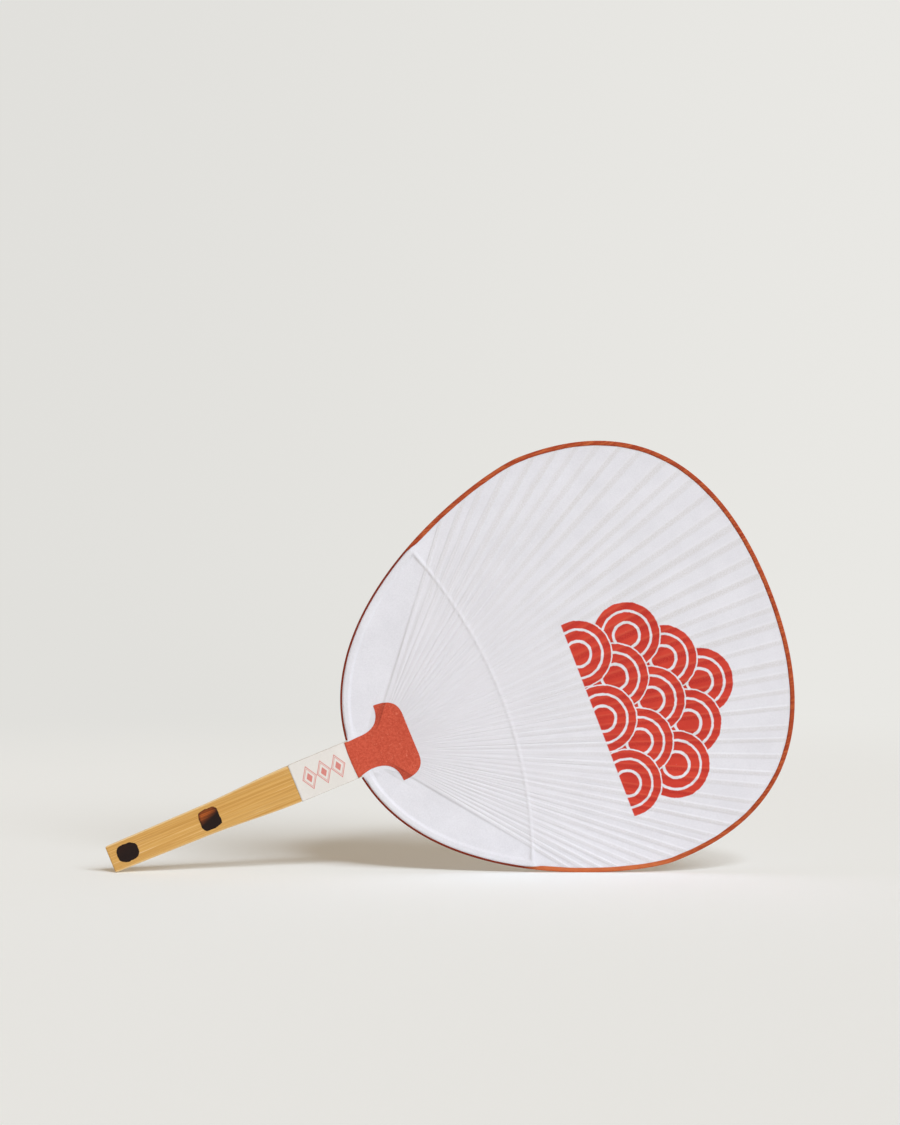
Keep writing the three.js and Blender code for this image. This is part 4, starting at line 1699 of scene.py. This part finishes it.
@dataclass(frozen=True)
class FacePaperFinish(PaperFinish):
    """The leaf's paper, through which the ribs show, with painted shade in its fine creases, a painted
    highlight on the ribs' raised edges, and the print on its front.
    """

    rib_tone: Colour = tone(199, 194, 190)
    rib_share: float = 0.42
    rib_speckle: tuple[float, float] = (0.35, 0.85)
    crease_shade_tone: Colour = tone(203, 200, 203)
    crease_share: float = 0.15
    crease_relief: float = 0.7
    crest_highlight_tone: Colour = tone(240, 240, 244)
    crest_share: float = 0.2
    through_tone: Colour = tone(222, 220, 224)
    through_share: float = 0.8
    red: Colour = tone(205, 66, 50)
    red_deep: Colour = tone(178, 46, 38)
    red_worn: Colour = tone(222, 120, 86)
    red_clouds: float = 0.5
    red_ribs: float = 0.8
    red_wear: float = 0.35
    printed: bool = True
    SPECKLE = Grain(1.5, 3.0, 0.65, 0.36, 0.62)
    WORN = Grain(1.6, 4.0, 0.7, 0.66, 0.78)

    def dress(self, plan: FacePlan, grain: SharedGrain) -> bpy.types.Material:
        """Makes the leaf paper's material.

        Args:
            plan: the fan's plan, for its own frame.
            grain: the shared groups.

        Returns:
            The material.
        """
        bench = NodeBench.material(self.name)
        vector = plan.face_vector(bench)
        fibres = bench.group(grain.fibres, vector)
        creased, through, _ = bench.group(grain.leaf, vector)
        crest = bench.attribute("rib_crest")
        speckle = bench.grain(vector, self.SPECKLE)
        least, more = self.rib_speckle
        band = bench.attribute("rib_band") * (speckle * more + least)
        colour = self.colour(bench, vector, fibres)
        colour = bench.mix(through * self.through_share, colour, self.through_tone)
        colour = bench.mix(band * self.rib_share, colour, self.rib_tone)
        # painted shade: the fine creases along the ribs are darkened
        colour = bench.mix(creased * self.crease_share, colour, self.crease_shade_tone)
        # painted highlight: the crest value lightens the raised edge of each rib
        colour = bench.mix(crest * self.crest_share, colour, self.crest_highlight_tone)
        if self.printed:
            worn = bench.grain(vector, self.WORN) * self.red_wear
            red = bench.mix(fibres[1] * self.red_clouds, self.red, self.red_deep)
            red = bench.mix(band * self.red_ribs, red, self.red_deep)
            # the crest value lightens the red where the ink is worn off the raised rib edges
            red = bench.mix(crest * self.crest_share, red, self.red_worn)
            colour = bench.mix(bench.group(WavePrint().group(), vector)[0] * (1.0 - worn), colour, red)
        relief = fibres[2] * (1 - self.crease_relief) + creased * self.crease_relief
        return bench.surface(colour, self.roughness, relief, self.depth, self.shine)


@dataclass(frozen=True)
class CottonFinish:
    """Twisted cotton thread."""

    name: str = "weaving cotton"
    body: Colour = tone(226, 220, 204)
    shade: Colour = tone(190, 180, 158)
    roughness: float = 0.9
    depth: float = 0.05
    twist_turn: float = 0.5
    twist_scale: float = 2.4
    twist_waver: float = 1.5
    twist_detail: float = 2.0

    def dress(self, plan: FacePlan) -> bpy.types.Material:
        """Makes the thread's material.

        Args:
            plan: the fan's plan, for its own frame.

        Returns:
            The material.
        """
        bench = NodeBench.material(self.name)
        lean = bench.mapped(plan.face_vector(bench), turn=self.twist_turn)
        spun = {"Vector": lean, "Scale": self.twist_scale, "Distortion": self.twist_waver,
                "Detail": self.twist_detail}
        twist = bench.out("ShaderNodeTexWave", spun, 1)
        return bench.surface(bench.mix(twist, self.shade, self.body), self.roughness, twist, self.depth)


class Lamp(NamedTuple):
    """One far lamp: where it stands from the fan, how strong it is and how wide it looks."""

    name: str
    stands: Triple
    power: float
    width: float


@dataclass(frozen=True)
class Studio:
    """The pale table that runs out into a pale room, the lights and the camera."""

    floor_tone: Colour = tone(248, 252, 252)
    room_left: Colour = tone(225, 224, 220)
    room_right: Colour = tone(233, 232, 228)
    room_turn: float = 0.2
    floor_reach: tuple[float, float] = (0.6, 1.5)
    floor_half: float = 40.0
    card_grain: float = 900.0
    card_detail: float = 2.0
    card_depth: float = 0.02
    card_rough: float = 0.95
    lamps: tuple[Lamp, ...] = (
        Lamp("key", (0.8, -1.0, 0.88), 1.65, math.radians(30)),
        Lamp("second", (0.3, -1.05, 1.0), 0.7, math.radians(10)),
    )
    lamp_tint: Triple = (0.935, 1.005, 1.1)
    sky_tone: Colour = tone(242, 222, 198)
    sky_power: float = 0.45
    wall_power: float = 1.4
    wall_back: tuple[float, float] = (-0.1, 0.5)
    wall_up: tuple[float, float] = (0.4, 0.1)
    camera_height: float = 0.161
    camera_away: float = 1.381
    lens: float = 85.0

    def build(self) -> None:
        """Sets up everything round the fan."""
        side = shared_group("room side", ("Right",), self.room_side)
        self.floor(side)
        self.room(side)
        for lamp in self.lamps:
            self.hang(lamp)
        scene = bpy.context.scene
        data = bpy.data.cameras.new("camera")
        data.lens = self.lens
        camera = bpy.data.objects.new("camera", data)
        camera.location = (0.0, -self.camera_away, self.camera_height)
        camera.rotation_euler = (math.pi / 2, 0.0, 0.0)
        scene.collection.objects.link(camera)
        scene.camera = camera
        scene.view_settings.view_transform = "Standard"
        LOG.info("studio set up")

    def hang(self, lamp: Lamp) -> None:
        """Hangs a lamp, turned to the fan.

        Args:
            lamp: where it stands and how it shines.
        """
        light = bpy.data.lights.new(lamp.name, "SUN")
        light.energy, light.angle, light.color = lamp.power, lamp.width, self.lamp_tint
        hung = bpy.data.objects.new(lamp.name, light)
        hung.location = lamp.stands
        hung.rotation_euler = Vector(lamp.stands).to_track_quat("Z", "Y").to_euler()
        bpy.context.scene.collection.objects.link(hung)

    def room_side(self, bench: NodeBench, vector: Signal) -> Sequence[Signal]:
        """How far to the right a place or a way of looking lies."""
        heading = bench.out("ShaderNodeVectorMath", {0: vector}, operation="NORMALIZE")
        return [bench.axes(heading)[0].step(-self.room_turn, self.room_turn)]

    def seen(self, bench: NodeBench, side: bpy.types.NodeTree, vector: Signal) -> Signal:
        """The room's own tone at a place or a way of looking."""
        return bench.mix(bench.group(side, vector)[0], self.room_left, self.room_right)

    def room(self, side: bpy.types.NodeTree) -> None:
        """The room that is seen round the fan, and the dimmer sky and pale far wall that light it.

        Args:
            side: the group that tells right from left.
        """
        world = bpy.data.worlds.new("room")
        bpy.context.scene.world = world
        world.use_nodes = True
        world.node_tree.nodes.clear()
        bench = NodeBench(world.node_tree)
        heading = bench.out("ShaderNodeTexCoord")
        _, back, up = bench.axes(heading)
        wall = back.step(*self.wall_back) * up.step(*self.wall_up)
        power = wall * (self.wall_power - self.sky_power) + self.sky_power
        sky = bench.out("ShaderNodeBackground", {0: self.sky_tone, 1: power})
        seen = bench.out("ShaderNodeBackground", {0: self.seen(bench, side, heading), 1: 1.0})
        path = {ray.socket.name: ray for ray in bench.add("ShaderNodeLightPath")}
        looks = bench.most(path["Is Camera Ray"], path["Is Glossy Ray"], path["Is Transmission Ray"])
        shown = bench.out("ShaderNodeMixShader", {0: looks, 1: sky, 2: seen})
        bench.add("ShaderNodeOutputWorld", {"Surface": shown})

    def floor(self, side: bpy.types.NodeTree) -> None:
        """The table, whose far reaches take the room's own tone.

        Args:
            side: the group that tells right from left.
        """
        mesh = bmesh.new()
        bmesh.ops.create_grid(mesh, x_segments=1, y_segments=1, size=self.floor_half)
        piece = finished("table", mesh)
        bench = NodeBench.material("table card")
        place = bench.place()
        grain = bench.noise(place, self.card_grain, self.card_detail)
        bump = bench.out("ShaderNodeBump", {"Height": grain, "Distance": self.card_depth * MM})
        matt = {"Base Color": self.floor_tone, "Roughness": self.card_rough, "Normal": bump,
                "Specular IOR Level": 0.0}
        card = bench.out("ShaderNodeBsdfPrincipled", matt)
        glow = bench.out("ShaderNodeEmission", {0: self.seen(bench, side, place), 1: 1.0})
        away = bench.out("ShaderNodeVectorMath", {0: place}, 1, operation="LENGTH")
        faded = bench.out("ShaderNodeMixShader", {0: away.step(*self.floor_reach), 1: card, 2: glow})
        bench.add("ShaderNodeOutputMaterial", {"Surface": faded})
        piece.data.materials.append(bench.made)


WHITE = {"body": tone(226, 225, 230), "shade": tone(214, 213, 218), "hair": tone(238, 237, 240),
         "hair_share": 0.45, "cloud_share": 0.75, "depth": 0.17}
LEAF_PAPERS = {Side.FRONT: FacePaperFinish("printed leaf paper", **WHITE),
               Side.BACK: FacePaperFinish("plain leaf paper", **WHITE, printed=False)}
# fold sets the painted shade along the crease over the outermost rib and on the paper beyond it
PATCH_PAPER = PaperFinish("red patch paper", tone(207, 93, 69), tone(178, 66, 46), tone(228, 152, 124),
                          hair_share=0.6, cloud_share=0.35, depth=0.08, specks=0.7, fold=0.42)
# the bow tone is painted shade along the bow; the foot tone lightens the strip towards the bottom edge
BINDING_PAPER = PaperFinish("binding paper", tone(148, 53, 28), tone(170, 72, 40), tone(190, 100, 60),
                            hair_share=0.25, cloud_share=0.8, streak_tone=tone(200, 108, 60),
                            bow_shade_tone=tone(122, 44, 26), foot_tone=tone(200, 108, 64))
BAND_PAPER = BandFinish("band paper", tone(225, 221, 215), tone(216, 211, 204), tone(236, 233, 228))
DABS = (Dab(-126.1, 0.2, 5.9, 4.7, 2.6, 0.02), Dab(-80.1, 0.0, 5.5, 5.4, 3.8, 1.0))
HANDLE_BAMBOO = BambooFinish("handle bamboo", tone(207, 157, 82), tone(222, 181, 112), tone(180, 126, 56),
                             roughness=0.45, dabs=DABS)
SPLIT_BAMBOO = BambooFinish("split bamboo", tone(222, 196, 146), tone(232, 212, 170), tone(196, 164, 112),
                            roughness=0.6)


@dataclass
class HandFan:
    """The whole dressed fan."""

    plan: FacePlan
    ribs: RibFan

    def settle(self, piece: bpy.types.Object, node: str,
               material: bpy.types.Material) -> bpy.types.Object:
        """Dresses a piece and lets it ride in its CAD node's place.

        Args:
            piece: the built piece.
            node: the CAD node that it stands for.
            material: its finish.

        Returns:
            The piece.
        """
        piece.data.materials.append(material)
        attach(piece, "root")
        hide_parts(node)
        return piece

    def build(self) -> None:
        """Makes and dresses every piece."""
        plan, ribs = self.plan, self.ribs
        grain = SharedGrain.make(ribs)
        leaf = {side: finish.dress(plan, grain) for side, finish in LEAF_PAPERS.items()}
        patch, strip, band, grip, split = (finish.dress(plan, grain) for finish in (
            PATCH_PAPER, BINDING_PAPER, BAND_PAPER, HANDLE_BAMBOO, SPLIT_BAMBOO))
        ribs.dress(split, CottonFinish().dress(plan))

        papers = {side: PaperFace(side, plan, ribs) for side in Side}
        sheets = {side: self.settle(paper.build(), paper.name, leaf[side])
                  for side, paper in papers.items()}
        binding = self.settle(EdgeBinding(plan, papers).build(), "edge_binding", strip)
        for side, sheet in sheets.items():
            node = f"neck_patch_{side.word}"
            piece = self.settle(NeckPatch(papers[side]).build(), node, patch)
            papers[side].name
        label = self.settle(PaperBand(plan).build(), "label_band", band)
        self.settle(Handle(plan).build(), "handle", grip)


def main() -> None:
    """Builds the fan and the studio."""
    logging.basicConfig(level=logging.INFO, format="%(name)s: %(message)s")
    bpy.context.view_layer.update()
    plan = FacePlan()
    HandFan(plan, RibFan(plan)).build()
    Studio().build()


if __name__ == "__main__":
    main()
